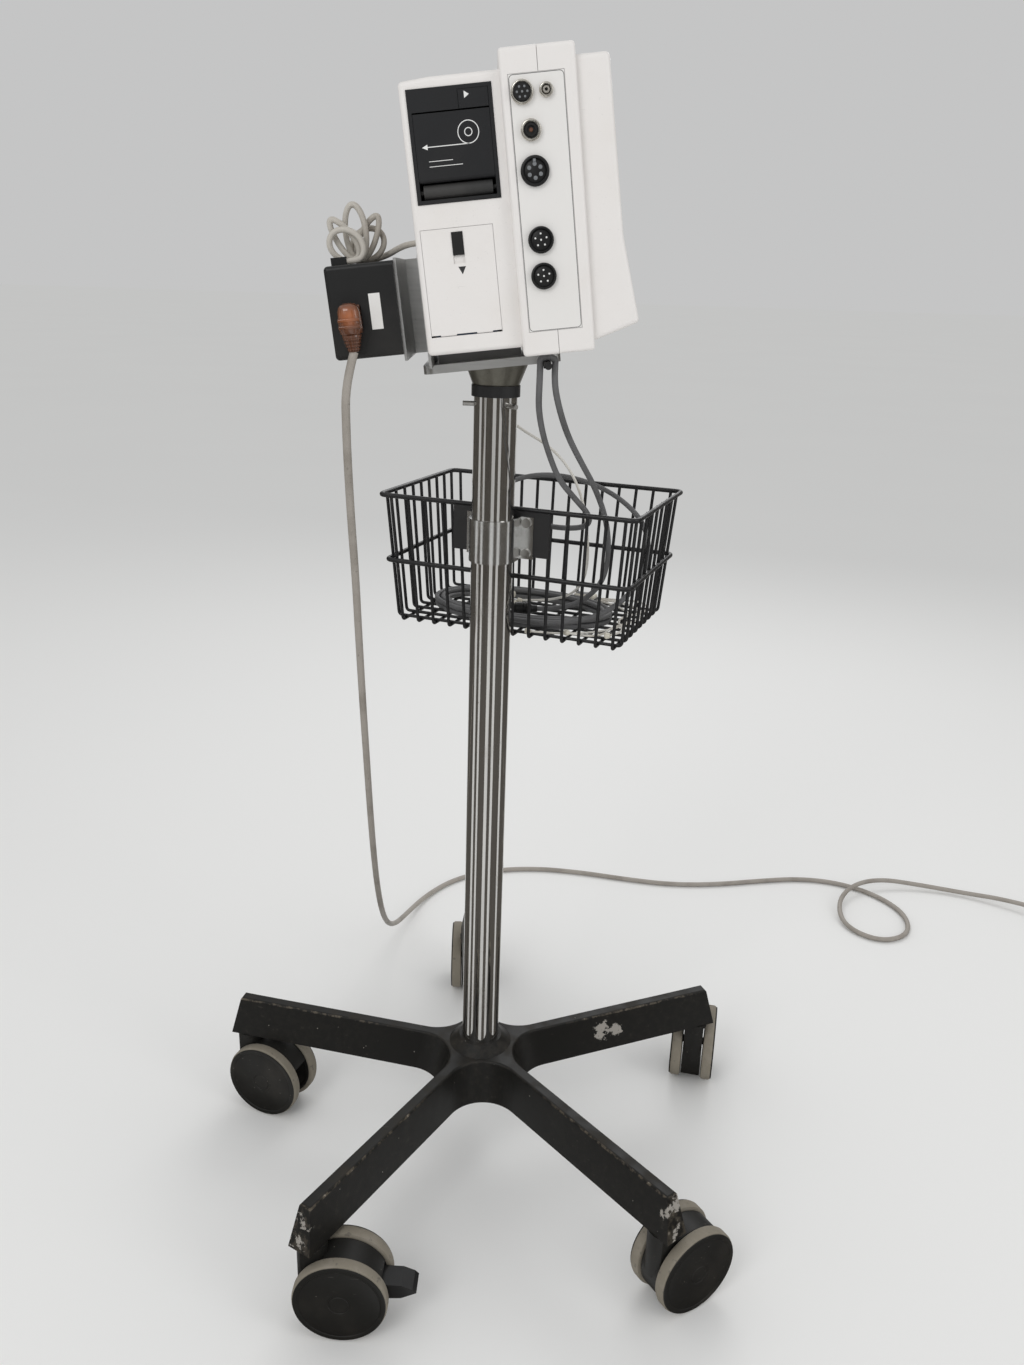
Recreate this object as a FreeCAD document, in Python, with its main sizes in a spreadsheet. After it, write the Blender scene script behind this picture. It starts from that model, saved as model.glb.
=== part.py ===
import FreeCAD, Part
import math
import os
import re
import Sketcher
from FreeCAD import Placement, Rotation, Vector

# Driving dimensions in millimetres and degrees.
SIZES = {
    # Stand
    "pole_diameter": 44.5,
    "pole_wall": 2.0,
    "pole_seat": 6.0,
    "leg_reach": 333.0,
    "leg_end_slant": 12.0,
    "leg_height": 50.0,
    "leg_clearance": 6.0,
    "leg_foot_width": 29.0,
    "leg_ridge_width": 14.0,
    "leg_edge_radius": 3.0,
    "leg_turn": 93.3,
    "web_radius": 45.0,
    "hub_boss_radius": 38.0,
    "hub_neck_radius": 26.0,
    "hub_boss_height": 10.0,
    "fit_gap": 0.05,
    "part_gap": 0.3,
    # Casters
    "wheel_diameter": 100.0,
    "wheel_width": 15.0,
    "wheel_gap": 1.5,
    "disc_radius": 45.0,
    "cap_radius": 48.5,
    "cap_thickness": 1.5,
    "axle_diameter": 10.0,
    "hood_width": 25.0,
    "hood_radius": 46.5,
    "hood_floor_gap": 12.0,
    "hood_mouth_rise": 20.0,
    "hood_mouth_set": 6.0,
    "boss_radius": 15.0,
    "neck_radius": 16.0,
    "neck_flange": 5.0,
    "caster_inset": 20.0,
    "caster_trail": 32.0,
    "stem_diameter": 11.0,
    "stem_grip": 34.0,
    "stem_drop": 42.0,
    "pedal_reach": 78.0,
    "pedal_thickness": 16.0,
    # Pole head and mount
    "collar_height": 11.0,
    "collar_wall": 2.4,
    "set_screw_drop": 19.0,
    "set_screw_diameter": 5.0,
    "set_screw_length": 11.0,
    "head_foot_radius": 23.5,
    "head_top_radius": 36.0,
    "head_height": 32.0,
    "pivot_height": 975.0,
    "head_drop": 29.0,
    "tilt_angle": 7.1,
    "plate_top_drop": 1.0,
    "plate_thickness": 8.0,
    "plate_back": 71.0,
    "plate_front": 61.0,
    "plate_width": 104.0,
    "plate_corner": 10.0,
    "rail_back": 56.0,
    "rail_front": 24.0,
    "rail_width": 80.0,
    "rail_wall": 4.0,
    # Power supply
    "bracket_wall": 2.5,
    "bracket_inner": 19.0,
    "bracket_front": -92.0,
    "bracket_depth": 114.0,
    "bracket_foot": 8.0,
    "bracket_top": 97.0,
    "psu_width": 62.0,
    "psu_front": -100.0,
    "psu_depth": 150.0,
    "psu_foot": 14.0,
    "psu_height": 81.0,
    "psu_edge_radius": 4.0,
    "inlet_height": 50.0,
    "inlet_set": 43.0,
    "inlet_width": 20.0,
    "inlet_depth": 8.0,
    "connector_width": 22.0,
    "connector_depth": 20.0,
    "connector_height": 26.0,
    "boot_length": 16.0,
    # Basket and clamp
    "basket_turn": -22.2,
    "basket_length": 300.0,
    "basket_depth": 200.0,
    "basket_inset": 10.0,
    "basket_floor": 670.0,
    "basket_rim": 820.0,
    "basket_mid": 743.0,
    "wire_diameter": 4.0,
    "wire_columns": 13.0,
    "wire_rows": 8.0,
    "clamp_plate_width": 110.0,
    "clamp_plate_rise": 98.0,
    "clamp_plate_height": 48.0,
    "clamp_plate_thickness": 3.0,
    "strap_thickness": 2.5,
    "strap_drop": 2.0,
    "strap_height": 45.0,
    "strap_span": 76.0,
    "bolt_diameter": 5.0,
    "bolt_span": 61.0,
    "bolt_edge": 6.0,
    # Monitor cases
    "case_wall": 3.0,
    "case_half_width": 130.0,
    "case_floor": 12.0,
    "case_back": 59.3,
    "rear_top": 231.0,
    "rear_top_back": 229.0,
    "rear_top_break": 33.0,
    "case_edge_radius": 4.0,
    "pad_front": 22.0,
    "pad_height": 3.0,
    "pad_half_width": 100.0,
    "strip_back": 24.6,
    "strip_front": 87.5,
    "strip_floor": 4.0,
    "strip_top": 245.0,
    "strip_stand": 8.0,
    "strip_side_wall": 5.0,
    "strip_edge_radius": 3.0,
    "seam": 56.0,
    "seam_gap": 0.4,
    "front_top": 236.0,
    "face_top": 116.0,
    "face_break": 119.0,
    "face_break_height": 95.0,
    "face_foot": 128.6,
    "face_foot_height": 23.4,
    "front_floor": 90.0,
    "panel_back": 31.0,
    "panel_front": 77.5,
    "panel_floor": 24.0,
    "panel_top": 225.0,
    "panel_thickness": 3.0,
    "panel_ledge": 1.0,
    "screen_half_width": 105.0,
    "screen_floor": 106.0,
    "screen_top": 222.0,
    "screen_set": 1.0,
    "module_thickness": 16.0,
    "board_thickness": 1.6,
    "board_height": 200.0,
    "board_half_width": 112.0,
    "vent_count": 9.0,
    "vent_width": 4.0,
    "vent_pitch": 11.0,
    "vent_floor": 150.0,
    "vent_height": 45.0,
    # Sockets on the connector panel
    "spo2_u": 41.7,
    "spo2_w": 211.0,
    "spo2_radius": 9.3,
    "cuff_u": 61.5,
    "cuff_w": 211.0,
    "cuff_radius": 5.75,
    "temp_u": 46.6,
    "temp_w": 182.5,
    "temp_radius": 8.5,
    "ecg_u": 47.2,
    "ecg_w": 151.6,
    "ecg_radius": 12.0,
    "ibp_u": 47.6,
    "ibp_upper_w": 98.0,
    "ibp_lower_w": 69.0,
    "ibp_radius": 10.85,
    "socket_rise": 4.0,
    "socket_depth": 12.0,
    "socket_rim": 2.0,
    "socket_recess": 7.0,
    "contact_radius": 1.2,
    # Recorder
    "recorder_back": 53.5,
    "recorder_front": 17.5,
    "recorder_floor": 134.5,
    "recorder_top": 222.5,
    "recorder_depth": 58.0,
    "recorder_wall": 3.0,
    "recorder_proud": 1.0,
    "bar_height": 14.5,
    "bar_depth": 7.0,
    "button_width": 25.0,
    "door_floor": 154.0,
    "door_thickness": 6.0,
    "door_pin_radius": 1.5,
    "roller_radius": 6.0,
    "roller_pin_radius": 2.0,
    "roller_height": 144.0,
    "roller_set": 5.5,
    "roll_radius": 22.0,
    "roll_core_radius": 6.0,
    "roll_width": 54.0,
    "roll_height": 178.0,
    "roll_set": 32.0,
    # Battery
    "battery_back": 54.5,
    "battery_front": 8.0,
    "battery_floor": 27.0,
    "battery_top": 115.0,
    "battery_door_thickness": 2.6,
    "tab_length": 14.0,
    "tab_inset": 8.0,
    "latch_width": 9.4,
    "latch_height": 18.5,
    "latch_centre": 102.0,
    "latch_travel": 6.0,
    "latch_recess": 1.6,
    "latch_thickness": 2.1,
    "pack_length": 80.0,
    "pack_height": 90.0,
    "pack_margin": 3.5,
    # Front controls, on the sloping lower face
    "knob_radius": 14.0,
    "knob_height": 16.0,
    "knob_side": 70.0,
    "knob_shaft_radius": 3.0,
    "control_depth": 8.0,
    "key_length": 18.0,
    "key_height": 11.0,
    "key_proud": 2.0,
    "key_edge_radius": 1.5,
    "menu_key_side": 20.0,
    "power_key_side": -70.0,
    # Cords
    "peg_u": 46.0,
    "peg_drop": 7.0,
    "peg_radius": 3.5,
    "peg_front": -118.0,
    "peg_length": 28.0,
    "mains_diameter": 8.0,
    "dc_diameter": 5.5,
    "patient_diameter": 6.0,
    "sensor_diameter": 3.0,
    "lead_diameter": 2.4,
    "plug_radius": 17.0,
    "plug_length": 34.0,
    "plug_boot": 22.0,
    "pin_length": 17.0,
    "hank_turns": 5.0,
    "hank_pitch": 6.6,
    "hank_u": -117.0,
    "hank_v": -78.6,
    "hank_step": 4.0,
    "loop_half_width": 11.0,
    "loop_length": 28.0,
    "loop_growth": 20.0,
    "loop_lean": 40.0,
    "loop_bend": 15.0,
    "coil_turns": 2.0,
    "coil_step": 7.4,
    "coil_layer": 6.8,
    "coil_half_length": 112.0,
    "coil_half_depth": 66.0,
    "coil_along": -10.0,
    "coil_away": 128.0,
    "dc_jack_side": -60.0,
    "dc_jack_height": 108.0,
    "sensor_hole_away": 45.0,
    "sensor_length": 56.0,
    "sensor_height": 20.0,
    "plug_end_radius": 7.8,
    "plug_end_length": 36.0,
    "clip_radius": 3.4,
    "clip_length": 7.0,
    "yoke_start": 30.0,
    "yoke_length": 28.0,
    "yoke_depth": 15.0,
    "yoke_height": 12.6,
    "gland_end": -126.0,
    "gland_length": 14.0,
    "gland_width": 7.0,
}

# Sizes that follow from the ones above.
TIES = {
    "caster_reach": "leg_reach - caster_inset",
    "strip_half_width": "case_half_width + strip_stand",
    "pole_top": "pivot_height - head_drop",
    "clamp_plate_foot": "basket_floor + clamp_plate_rise",
    "strap_foot": "clamp_plate_foot - strap_drop",
}

LEG_PITCH = 72.0
# Trail direction of each caster, in the order of the legs from the back one anticlockwise.
CASTERS = [("back", 90.0), ("left", -22.4), ("front_left", -3.0), ("front_right", 31.6), ("right", 77.0)]

doc = FreeCAD.newDocument("monitor_on_stand")
sheet = doc.addObject("Spreadsheet::Sheet", "Sizes")
CELLS = {alias: str(number) for alias, number in SIZES.items()}
CELLS.update({alias: "=" + rule for alias, rule in TIES.items()})
for row, (alias, content) in enumerate(CELLS.items(), 1):
    sheet.set("A%d" % row, alias)
    sheet.setAlias("B%d" % row, alias)
    sheet.set("B%d" % row, content)
doc.recompute()
NODES = []


def size(alias):
    """The number that the sheet holds under an alias."""
    return float(sheet.get(alias))


def formula(text):
    """An expression in which each alias is read from the sheet."""
    return re.sub(r"[a-z]\w*", lambda word: ("Sizes." if word.group() in CELLS else "") + word.group(), str(text))


def bind(thing, prop, text):
    thing.setExpression(prop, formula(text))


def put(thing, at, turn=Rotation()):
    """Place a solid at three expressions, with a fixed turn."""
    thing.Placement = Placement(Vector(), turn)
    for letter, text in zip("xyz", at):
        bind(thing, "Placement.Base." + letter, text)
    return thing


TURNS = {
    "z": Rotation(),
    "x": Rotation(Vector(0, 1, 0), 90),
    "y": Rotation(Vector(1, 0, 0), -90),
    "-y": Rotation(Vector(1, 0, 0), 90),
    "-z": Rotation(Vector(1, 0, 0), 180),
}


def box(low, high):
    """A block between two corners given as expressions."""
    solid = doc.addObject("Part::Box", "block")
    for prop, start, end in zip(("Length", "Width", "Height"), low, high):
        bind(solid, prop, "(%s) - (%s)" % (end, start))
    return put(solid, low)


def cylinder(at, radius, length, axis="z"):
    solid = doc.addObject("Part::Cylinder", "round")
    bind(solid, "Radius", radius)
    bind(solid, "Height", length)
    return put(solid, at, TURNS[axis])


def cone(at, foot, top, length, axis="z"):
    solid = doc.addObject("Part::Cone", "taper")
    bind(solid, "Radius1", foot)
    bind(solid, "Radius2", top)
    bind(solid, "Height", length)
    return put(solid, at, TURNS[axis])


def fuse(*solids):
    joined = doc.addObject("Part::MultiFuse", "joined")
    joined.Shapes = list(solids)
    joined.Refine = True
    return joined


def group(*solids):
    together = doc.addObject("Part::Compound", "together")
    together.Links = list(solids)
    return together


def cut(base, *tools):
    result = doc.addObject("Part::Cut", "cut")
    result.Base = base
    result.Tool = tools[0] if len(tools) == 1 else group(*tools)
    return result


def common(first, second):
    result = doc.addObject("Part::Common", "shared")
    result.Base = first
    result.Tool = second
    return result


def free_shape(shape):
    """A solid that is worked out point by point from the sheet's sizes."""
    thing = doc.addObject("Part::Feature", "form")
    thing.Shape = shape
    return thing


def new_body(name):
    return doc.addObject("PartDesign::Body", name)


def origin(body, role):
    return [item for item in body.Origin.OriginFeatures if item.Role == role][0]


def attach(body, name, role, offset):
    sketch = body.newObject("Sketcher::SketchObject", name)
    sketch.AttachmentSupport = (origin(body, role), [""])
    sketch.MapMode = "FlatFace"
    if offset:
        bind(sketch, "AttachmentOffset.Base.z", offset)
    return sketch


def polygon(body, name, role, corners, offset=None):
    """A closed sketch whose corners are driven by expressions."""
    sketch = attach(body, name, role, offset)
    count = len(corners)
    start = [Vector(10 * math.cos(2 * math.pi * k / count), 10 * math.sin(2 * math.pi * k / count), 0)
             for k in range(count)]
    for k in range(count):
        sketch.addGeometry(Part.LineSegment(start[k], start[(k + 1) % count]), False)
    for k in range(count):
        sketch.addConstraint(Sketcher.Constraint("Coincident", k, 2, (k + 1) % count, 1))
    for k, corner in enumerate(corners):
        for kind, text, guess in zip(("DistanceX", "DistanceY"), corner, (start[k].x, start[k].y)):
            index = sketch.addConstraint(Sketcher.Constraint(kind, -1, 1, k, 1, guess))
            bind(sketch, "Constraints[%d]" % index, text)
    return sketch


def circle(body, name, role, centre, radius, offset=None):
    sketch = attach(body, name, role, offset)
    sketch.addGeometry(Part.Circle(Vector(1, 1, 0), Vector(0, 0, 1), 1), False)
    for kind, text in zip(("DistanceX", "DistanceY"), centre):
        index = sketch.addConstraint(Sketcher.Constraint(kind, -1, 1, 0, 3, 1))
        bind(sketch, "Constraints[%d]" % index, text)
    index = sketch.addConstraint(Sketcher.Constraint("Radius", 0, 1))
    bind(sketch, "Constraints[%d]" % index, radius)
    return sketch


def extrude(body, kind, sketch, length, both=False, flip=False):
    """A Pad or a Pocket from a sketch; both spreads it to the two sides of the sketch."""
    feature = body.newObject("PartDesign::" + kind, sketch.Name + "_" + kind.lower())
    feature.Profile = sketch
    bind(feature, "Length", length)
    if both:
        feature.SideType = "Symmetric"
    feature.Reversed = flip
    doc.recompute()
    return feature


def pad(body, sketch, length, both=False, flip=False):
    return extrude(body, "Pad", sketch, length, both, flip)


def pocket(body, sketch, length, both=False, flip=False):
    before = body.Shape.Volume
    feature = extrude(body, "Pocket", sketch, length, both, flip)
    if body.Shape.Volume > before - 1.0:
        raise RuntimeError("%s cuts nothing" % feature.Name)
    return feature


def revolve(body, sketch, role):
    feature = body.newObject("PartDesign::Revolution", sketch.Name + "_turned")
    feature.Profile = sketch
    feature.ReferenceAxis = (origin(body, role), [""])
    feature.Angle = 360
    doc.recompute()
    return feature


def polar(body, feature, count):
    pattern = body.newObject("PartDesign::PolarPattern", feature.Name + "_ring")
    pattern.Originals = [feature]
    pattern.Axis = (origin(body, "Z_Axis"), [""])
    pattern.Angle = 360
    pattern.Occurrences = count
    body.Tip = pattern
    doc.recompute()
    return pattern


def fillet(body, radius, wanted):
    """Round the edges of a body's tip that the test picks."""
    base = body.Tip
    names = ["Edge%d" % (k + 1) for k, edge in enumerate(base.Shape.Edges) if wanted(edge)]
    feature = body.newObject("PartDesign::Fillet", body.Name + "_edge")
    feature.Base = (base, names)
    bind(feature, "Radius", radius)
    doc.recompute()
    return feature


def node(label, thing, frame=None):
    """Name a finished sub-part and put it into its frame."""
    thing.Label = label
    if frame:
        frame(thing)
    NODES.append(thing)
    return thing


# Frames: the tilted monitor, the turned basket, the sloping control face and each caster.
def tilted(thing):
    put(thing, ("0", "0", "pivot_height"), Rotation(Vector(0, 1, 0), -1))
    bind(thing, "Placement.Rotation.Angle", "-tilt_angle")


def in_basket(thing):
    put(thing, ("0", "0", "0"), Rotation(Vector(0, 0, 1), -1))
    bind(thing, "Placement.Rotation.Angle", "basket_turn")


FACE_TURN = "atan((face_foot - face_break) / (face_break_height - face_foot_height))"
FACE_U = "((face_foot + face_break) / 2)"
FACE_W = "((face_foot_height + face_break_height) / 2)"


def on_face(thing):
    put(thing, ("%s * cos(tilt_angle) - %s * sin(tilt_angle)" % (FACE_U, FACE_W), "0",
                "pivot_height + %s * sin(tilt_angle) + %s * cos(tilt_angle)" % (FACE_U, FACE_W)),
        Rotation(Vector(0, 1, 0), -1))
    bind(thing, "Placement.Rotation.Angle", "-tilt_angle * 1deg - %s" % FACE_TURN)


def at_caster(place, trail):
    def frame(thing):
        angle = "(leg_turn + %g)" % (LEG_PITCH * place)
        put(thing, ("caster_reach * cos(%s)" % angle, "caster_reach * sin(%s)" % angle, "0"),
            Rotation(Vector(0, 0, 1), trail))
    return frame


def tilt_point(u, v, w):
    """A point of the tilted monitor frame in the stand's frame."""
    turn = Rotation(Vector(0, 1, 0), -size("tilt_angle"))
    return Vector(0, 0, size("pivot_height")) + turn.multVec(Vector(u, v, w))


def basket_point(along, away, height):
    turn = Rotation(Vector(0, 0, 1), size("basket_turn"))
    return turn.multVec(Vector(along, away, height))


LEG_FLOOR = "(wheel_diameter + leg_clearance)"
LEG_TOP = "(wheel_diameter + leg_clearance + leg_height)"
POLE_RADIUS = "(pole_diameter / 2)"


def star_base():
    body = new_body("star_base")
    half_foot = "leg_foot_width / 2"
    half_ridge = "leg_ridge_width / 2"
    end = "leg_reach - leg_end_slant"
    foot = polygon(body, "leg_foot", "XY_Plane", [
        ("0", "-" + half_foot), ("leg_reach", "-" + half_foot), ("leg_reach", half_foot), ("0", half_foot),
    ], LEG_FLOOR)
    ridge = polygon(body, "leg_ridge", "XY_Plane", [
        ("0", "-" + half_ridge), (end, "-" + half_ridge), (end, half_ridge), ("0", half_ridge),
    ], LEG_TOP)
    leg = body.newObject("PartDesign::AdditiveLoft", "leg")
    leg.Profile = foot
    leg.Sections = [ridge]
    leg.Ruled = True
    doc.recompute()
    polar(body, leg, len(CASTERS))
    near = size("leg_foot_width") * 2
    fillet(body, "web_radius", lambda edge: abs(edge.Vertexes[0].Z - edge.Vertexes[-1].Z) > 1
           and max(math.hypot(v.X, v.Y) for v in edge.Vertexes) < near)
    top = max(v.Z for v in body.Shape.Vertexes)
    fillet(body, "leg_edge_radius", lambda edge: edge.BoundBox.ZMin > top - 0.001)
    boss = polygon(body, "hub", "XZ_Plane", [
        ("0", LEG_TOP + " - leg_edge_radius"), ("hub_boss_radius", LEG_TOP + " - leg_edge_radius"),
        ("hub_boss_radius", LEG_TOP), ("hub_neck_radius", LEG_TOP + " + hub_boss_height"),
        ("0", LEG_TOP + " + hub_boss_height"),
    ])
    revolve(body, boss, "Z_Axis")
    bore = circle(body, "pole_bore", "XY_Plane", ("0", "0"), POLE_RADIUS + " + fit_gap",
                  LEG_TOP + " + hub_boss_height")
    pocket(body, bore, "hub_boss_height + leg_height - pole_seat")
    socket = circle(body, "stem_bore", "XY_Plane", ("caster_reach", "0"), "stem_diameter / 2 + fit_gap", LEG_FLOOR)
    polar(body, pocket(body, socket, "stem_grip", flip=True), len(CASTERS))
    put(body, ("0", "0", "0"), Rotation(Vector(0, 0, 1), 1))
    bind(body, "Placement.Rotation.Angle", "leg_turn")
    node("star_base", body)


SCREW_TURNS = (180.0, -52.0)


def stand_column():
    foot = LEG_FLOOR + " + pole_seat"
    length = "pole_top - (%s)" % foot
    screw_height = "pole_top - set_screw_drop"
    holes = []
    screws = []
    for angle in SCREW_TURNS:
        direction = Rotation(Vector(0, 0, 1), angle) * TURNS["x"]
        inner = "(%s - pole_wall)" % POLE_RADIUS
        for bag, radius, reach in ((holes, "set_screw_diameter / 2 + fit_gap", inner),
                                   (screws, "set_screw_diameter / 2", inner)):
            shaft = cylinder(("0", "0", "0"), radius, "pole_wall + set_screw_length")
            put(shaft, ("%s * cos(%g)" % (reach, angle), "%s * sin(%g)" % (reach, angle), screw_height), direction)
            bag.append(shaft)
    tube = cut(cylinder(("0", "0", foot), POLE_RADIUS, length),
               cylinder(("0", "0", foot), POLE_RADIUS + " - pole_wall", length), *holes)
    node("pole", tube)
    collar_foot = "pole_top - collar_height"
    node("pole_collar", cut(
        cylinder(("0", "0", collar_foot), POLE_RADIUS + " + collar_wall", "collar_height"),
        cylinder(("0", "0", collar_foot), POLE_RADIUS + " + fit_gap", "collar_height")))
    bolts = []
    for side in (-1, 1):
        for height in ("strap_foot + bolt_edge", "strap_foot + strap_height - bolt_edge"):
            bolts.append(fuse(
                cylinder(("%d * bolt_span / 2" % side, FLANGE_FRONT, height), "bolt_diameter / 2",
                         "strap_thickness + clamp_plate_thickness", "y"),
                cylinder(("%d * bolt_span / 2" % side, FLANGE_FRONT, height), "bolt_diameter", "bolt_edge / 2", "-y")))
    set_of_bolts = group(*bolts)
    in_basket(set_of_bolts)
    node("stand_screws", group(*screws, set_of_bolts))
    stems = []
    for place in range(len(CASTERS)):
        angle = "(leg_turn + %g)" % (LEG_PITCH * place)
        stems.append(cylinder(
            ("caster_reach * cos(%s)" % angle, "caster_reach * sin(%s)" % angle, LEG_FLOOR + " - stem_drop"),
            "stem_diameter / 2", "stem_drop + stem_grip"))
    node("caster_stems", group(*stems))


CLAMP_BACK = "(%s + part_gap)" % POLE_RADIUS
FLANGE_FRONT = "(%s - strap_thickness)" % CLAMP_BACK
PANEL_FRONT = "(%s + clamp_plate_thickness)" % CLAMP_BACK


def pole_clamp():
    inner = POLE_RADIUS + " + fit_gap"
    outer = POLE_RADIUS + " + strap_thickness"
    ring = cut(cylinder(("0", "0", "strap_foot"), outer, "strap_height"),
               cylinder(("0", "0", "strap_foot"), inner, "strap_height"),
               box(("-pole_diameter", "0", "strap_foot"), ("pole_diameter", "pole_diameter", "strap_foot + strap_height")))
    pieces = [ring]
    holes = []
    top = "strap_foot + strap_height"
    for side in (-1, 1):
        low, high = ("-(%s)" % outer, "-(%s)" % inner) if side < 0 else (inner, outer)
        pieces.append(box((low, "0", "strap_foot"), (high, CLAMP_BACK, top)))
        low, high = ("-strap_span / 2", "-(%s)" % inner) if side < 0 else (inner, "strap_span / 2")
        pieces.append(box((low, FLANGE_FRONT, "strap_foot"), (high, CLAMP_BACK, top)))
        for height in ("strap_foot + bolt_edge", "strap_foot + strap_height - bolt_edge"):
            holes.append(cylinder(("%d * bolt_span / 2" % side, FLANGE_FRONT, height),
                                  "bolt_diameter / 2 + fit_gap",
                                  "strap_thickness + clamp_plate_thickness", "y"))
    node("pole_clamp", cut(fuse(*pieces), *holes), in_basket)
    plate = box(("-clamp_plate_width / 2", CLAMP_BACK, "clamp_plate_foot"),
                ("clamp_plate_width / 2", PANEL_FRONT, "clamp_plate_foot + clamp_plate_height"))
    node("basket_plate", cut(plate, *holes), in_basket)


def net(corners, columns, rows, bar):
    """A flat panel of wires: one face with holes, given by its four corners in order, made bar thick."""
    low_left, low_right, high_right, high_left = corners

    def at(across, up):
        low = low_left + (low_right - low_left) * across
        high = high_left + (high_right - high_left) * across
        return low + (high - low) * up

    outline = Part.makePolygon(corners + [corners[0]])
    face = Part.Face(outline)
    width = (low_right - low_left).Length
    height = (high_left - low_left).Length
    side = bar / width / 2
    holes = []
    for column in range(columns):
        left, right = column / columns, (column + 1) / columns
        for lower, upper in rows:
            edge = bar / height / 2
            ring = [at(left + side, lower + edge), at(right - side, lower + edge),
                    at(right - side, upper - edge), at(left + side, upper - edge)]
            holes.append(Part.Face(Part.makePolygon(ring + [ring[0]])))
    face = face.cut(Part.makeCompound(holes))
    normal = (low_right - low_left).cross(high_left - low_left)
    normal.normalize()
    return face.Faces[0].extrude(normal * bar)


def wire_basket():
    half = size("basket_length") / 2
    inset = size("basket_inset")
    front = size("pole_diameter") / 2 + size("part_gap") + size("clamp_plate_thickness") + size("part_gap")
    back = front + size("basket_depth")
    floor = size("basket_floor")
    rim = size("basket_rim")
    bar = size("wire_diameter")
    gap = size("part_gap")
    middle = (size("basket_mid") - floor) / (rim - floor)
    rows = ((0.0, middle), (middle, 1.0))
    columns = int(size("wire_columns"))
    side_columns = int(size("wire_rows"))
    low = half - inset
    near = front + inset
    far = back - inset
    end = bar + gap
    foot = floor + bar + gap
    drop = inset * (foot - floor) / (rim - floor)

    def wall(a, b, c, d):
        return [Vector(*a, foot), Vector(*b, foot), Vector(*c, rim), Vector(*d, rim)]

    panels = [
        net(wall((low + drop - end, near - drop), (-low - drop + end, near - drop),
                 (-half + end, front), (half - end, front)), columns, rows, bar),
        net(wall((-low - drop + end, far + drop), (low + drop - end, far + drop),
                 (half - end, back), (-half + end, back)), columns, rows, bar),
        net(wall((-low - drop, near - drop), (-low - drop, far + drop), (-half, back), (-half, front)),
            side_columns, rows, bar),
        net(wall((low + drop, far + drop), (low + drop, near - drop), (half, front), (half, back)),
            side_columns, rows, bar),
    ]
    strips = [(k / side_columns, (k + 1) / side_columns) for k in range(side_columns)]
    panels.append(net([Vector(-low, near, floor), Vector(low, near, floor),
                       Vector(low, far, floor), Vector(-low, far, floor)], columns, strips, bar))
    node("wire_basket", free_shape(Part.makeCompound(panels)), in_basket)


PLATE_FLOOR = "(-plate_top_drop - plate_thickness)"


def mount():
    above = box(("-plate_back", "-plate_width", PLATE_FLOOR), ("plate_front", "plate_width", "head_height"))
    block = group(above)
    tilted(block)
    node("tilt_head", cut(cone(("0", "0", "pole_top"), "head_foot_radius", "head_top_radius", "head_height"), block))
    body = new_body("mount_plate_body")
    half = "plate_width / 2"
    plan = polygon(body, "plate_plan", "XY_Plane", [
        ("-plate_back", "-" + half), ("plate_front", "-" + half), ("plate_front", half), ("-plate_back", half),
    ], PLATE_FLOOR)
    pad(body, plan, "plate_thickness")
    fillet(body, "plate_corner", lambda edge: edge.BoundBox.ZLength > 1)
    hole = cylinder(("0", "sensor_hole_away", PLATE_FLOOR), "sensor_diameter / 2 + fit_gap", "plate_thickness")
    node("mount_plate", cut(body, hole), tilted)
    outer = box(("-rail_back", "-rail_width / 2", "-plate_top_drop"), ("rail_front", "rail_width / 2", "case_floor"))
    inner = box(("-rail_back", "-rail_width / 2 + rail_wall", "-plate_top_drop"),
                ("rail_front", "rail_width / 2 - rail_wall", "case_floor - rail_wall"))
    node("mount_rail", cut(outer, inner), tilted)


BRACKET_NEAR = "(-case_back - part_gap - bracket_wall)"
BRACKET_FAR = "(-case_back - part_gap - 2 * bracket_wall - bracket_inner)"
PSU_NEAR = BRACKET_FAR
PSU_FAR = "(%s - psu_width)" % BRACKET_FAR
INLET_U = "(%s - inlet_set)" % PSU_NEAR


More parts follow.
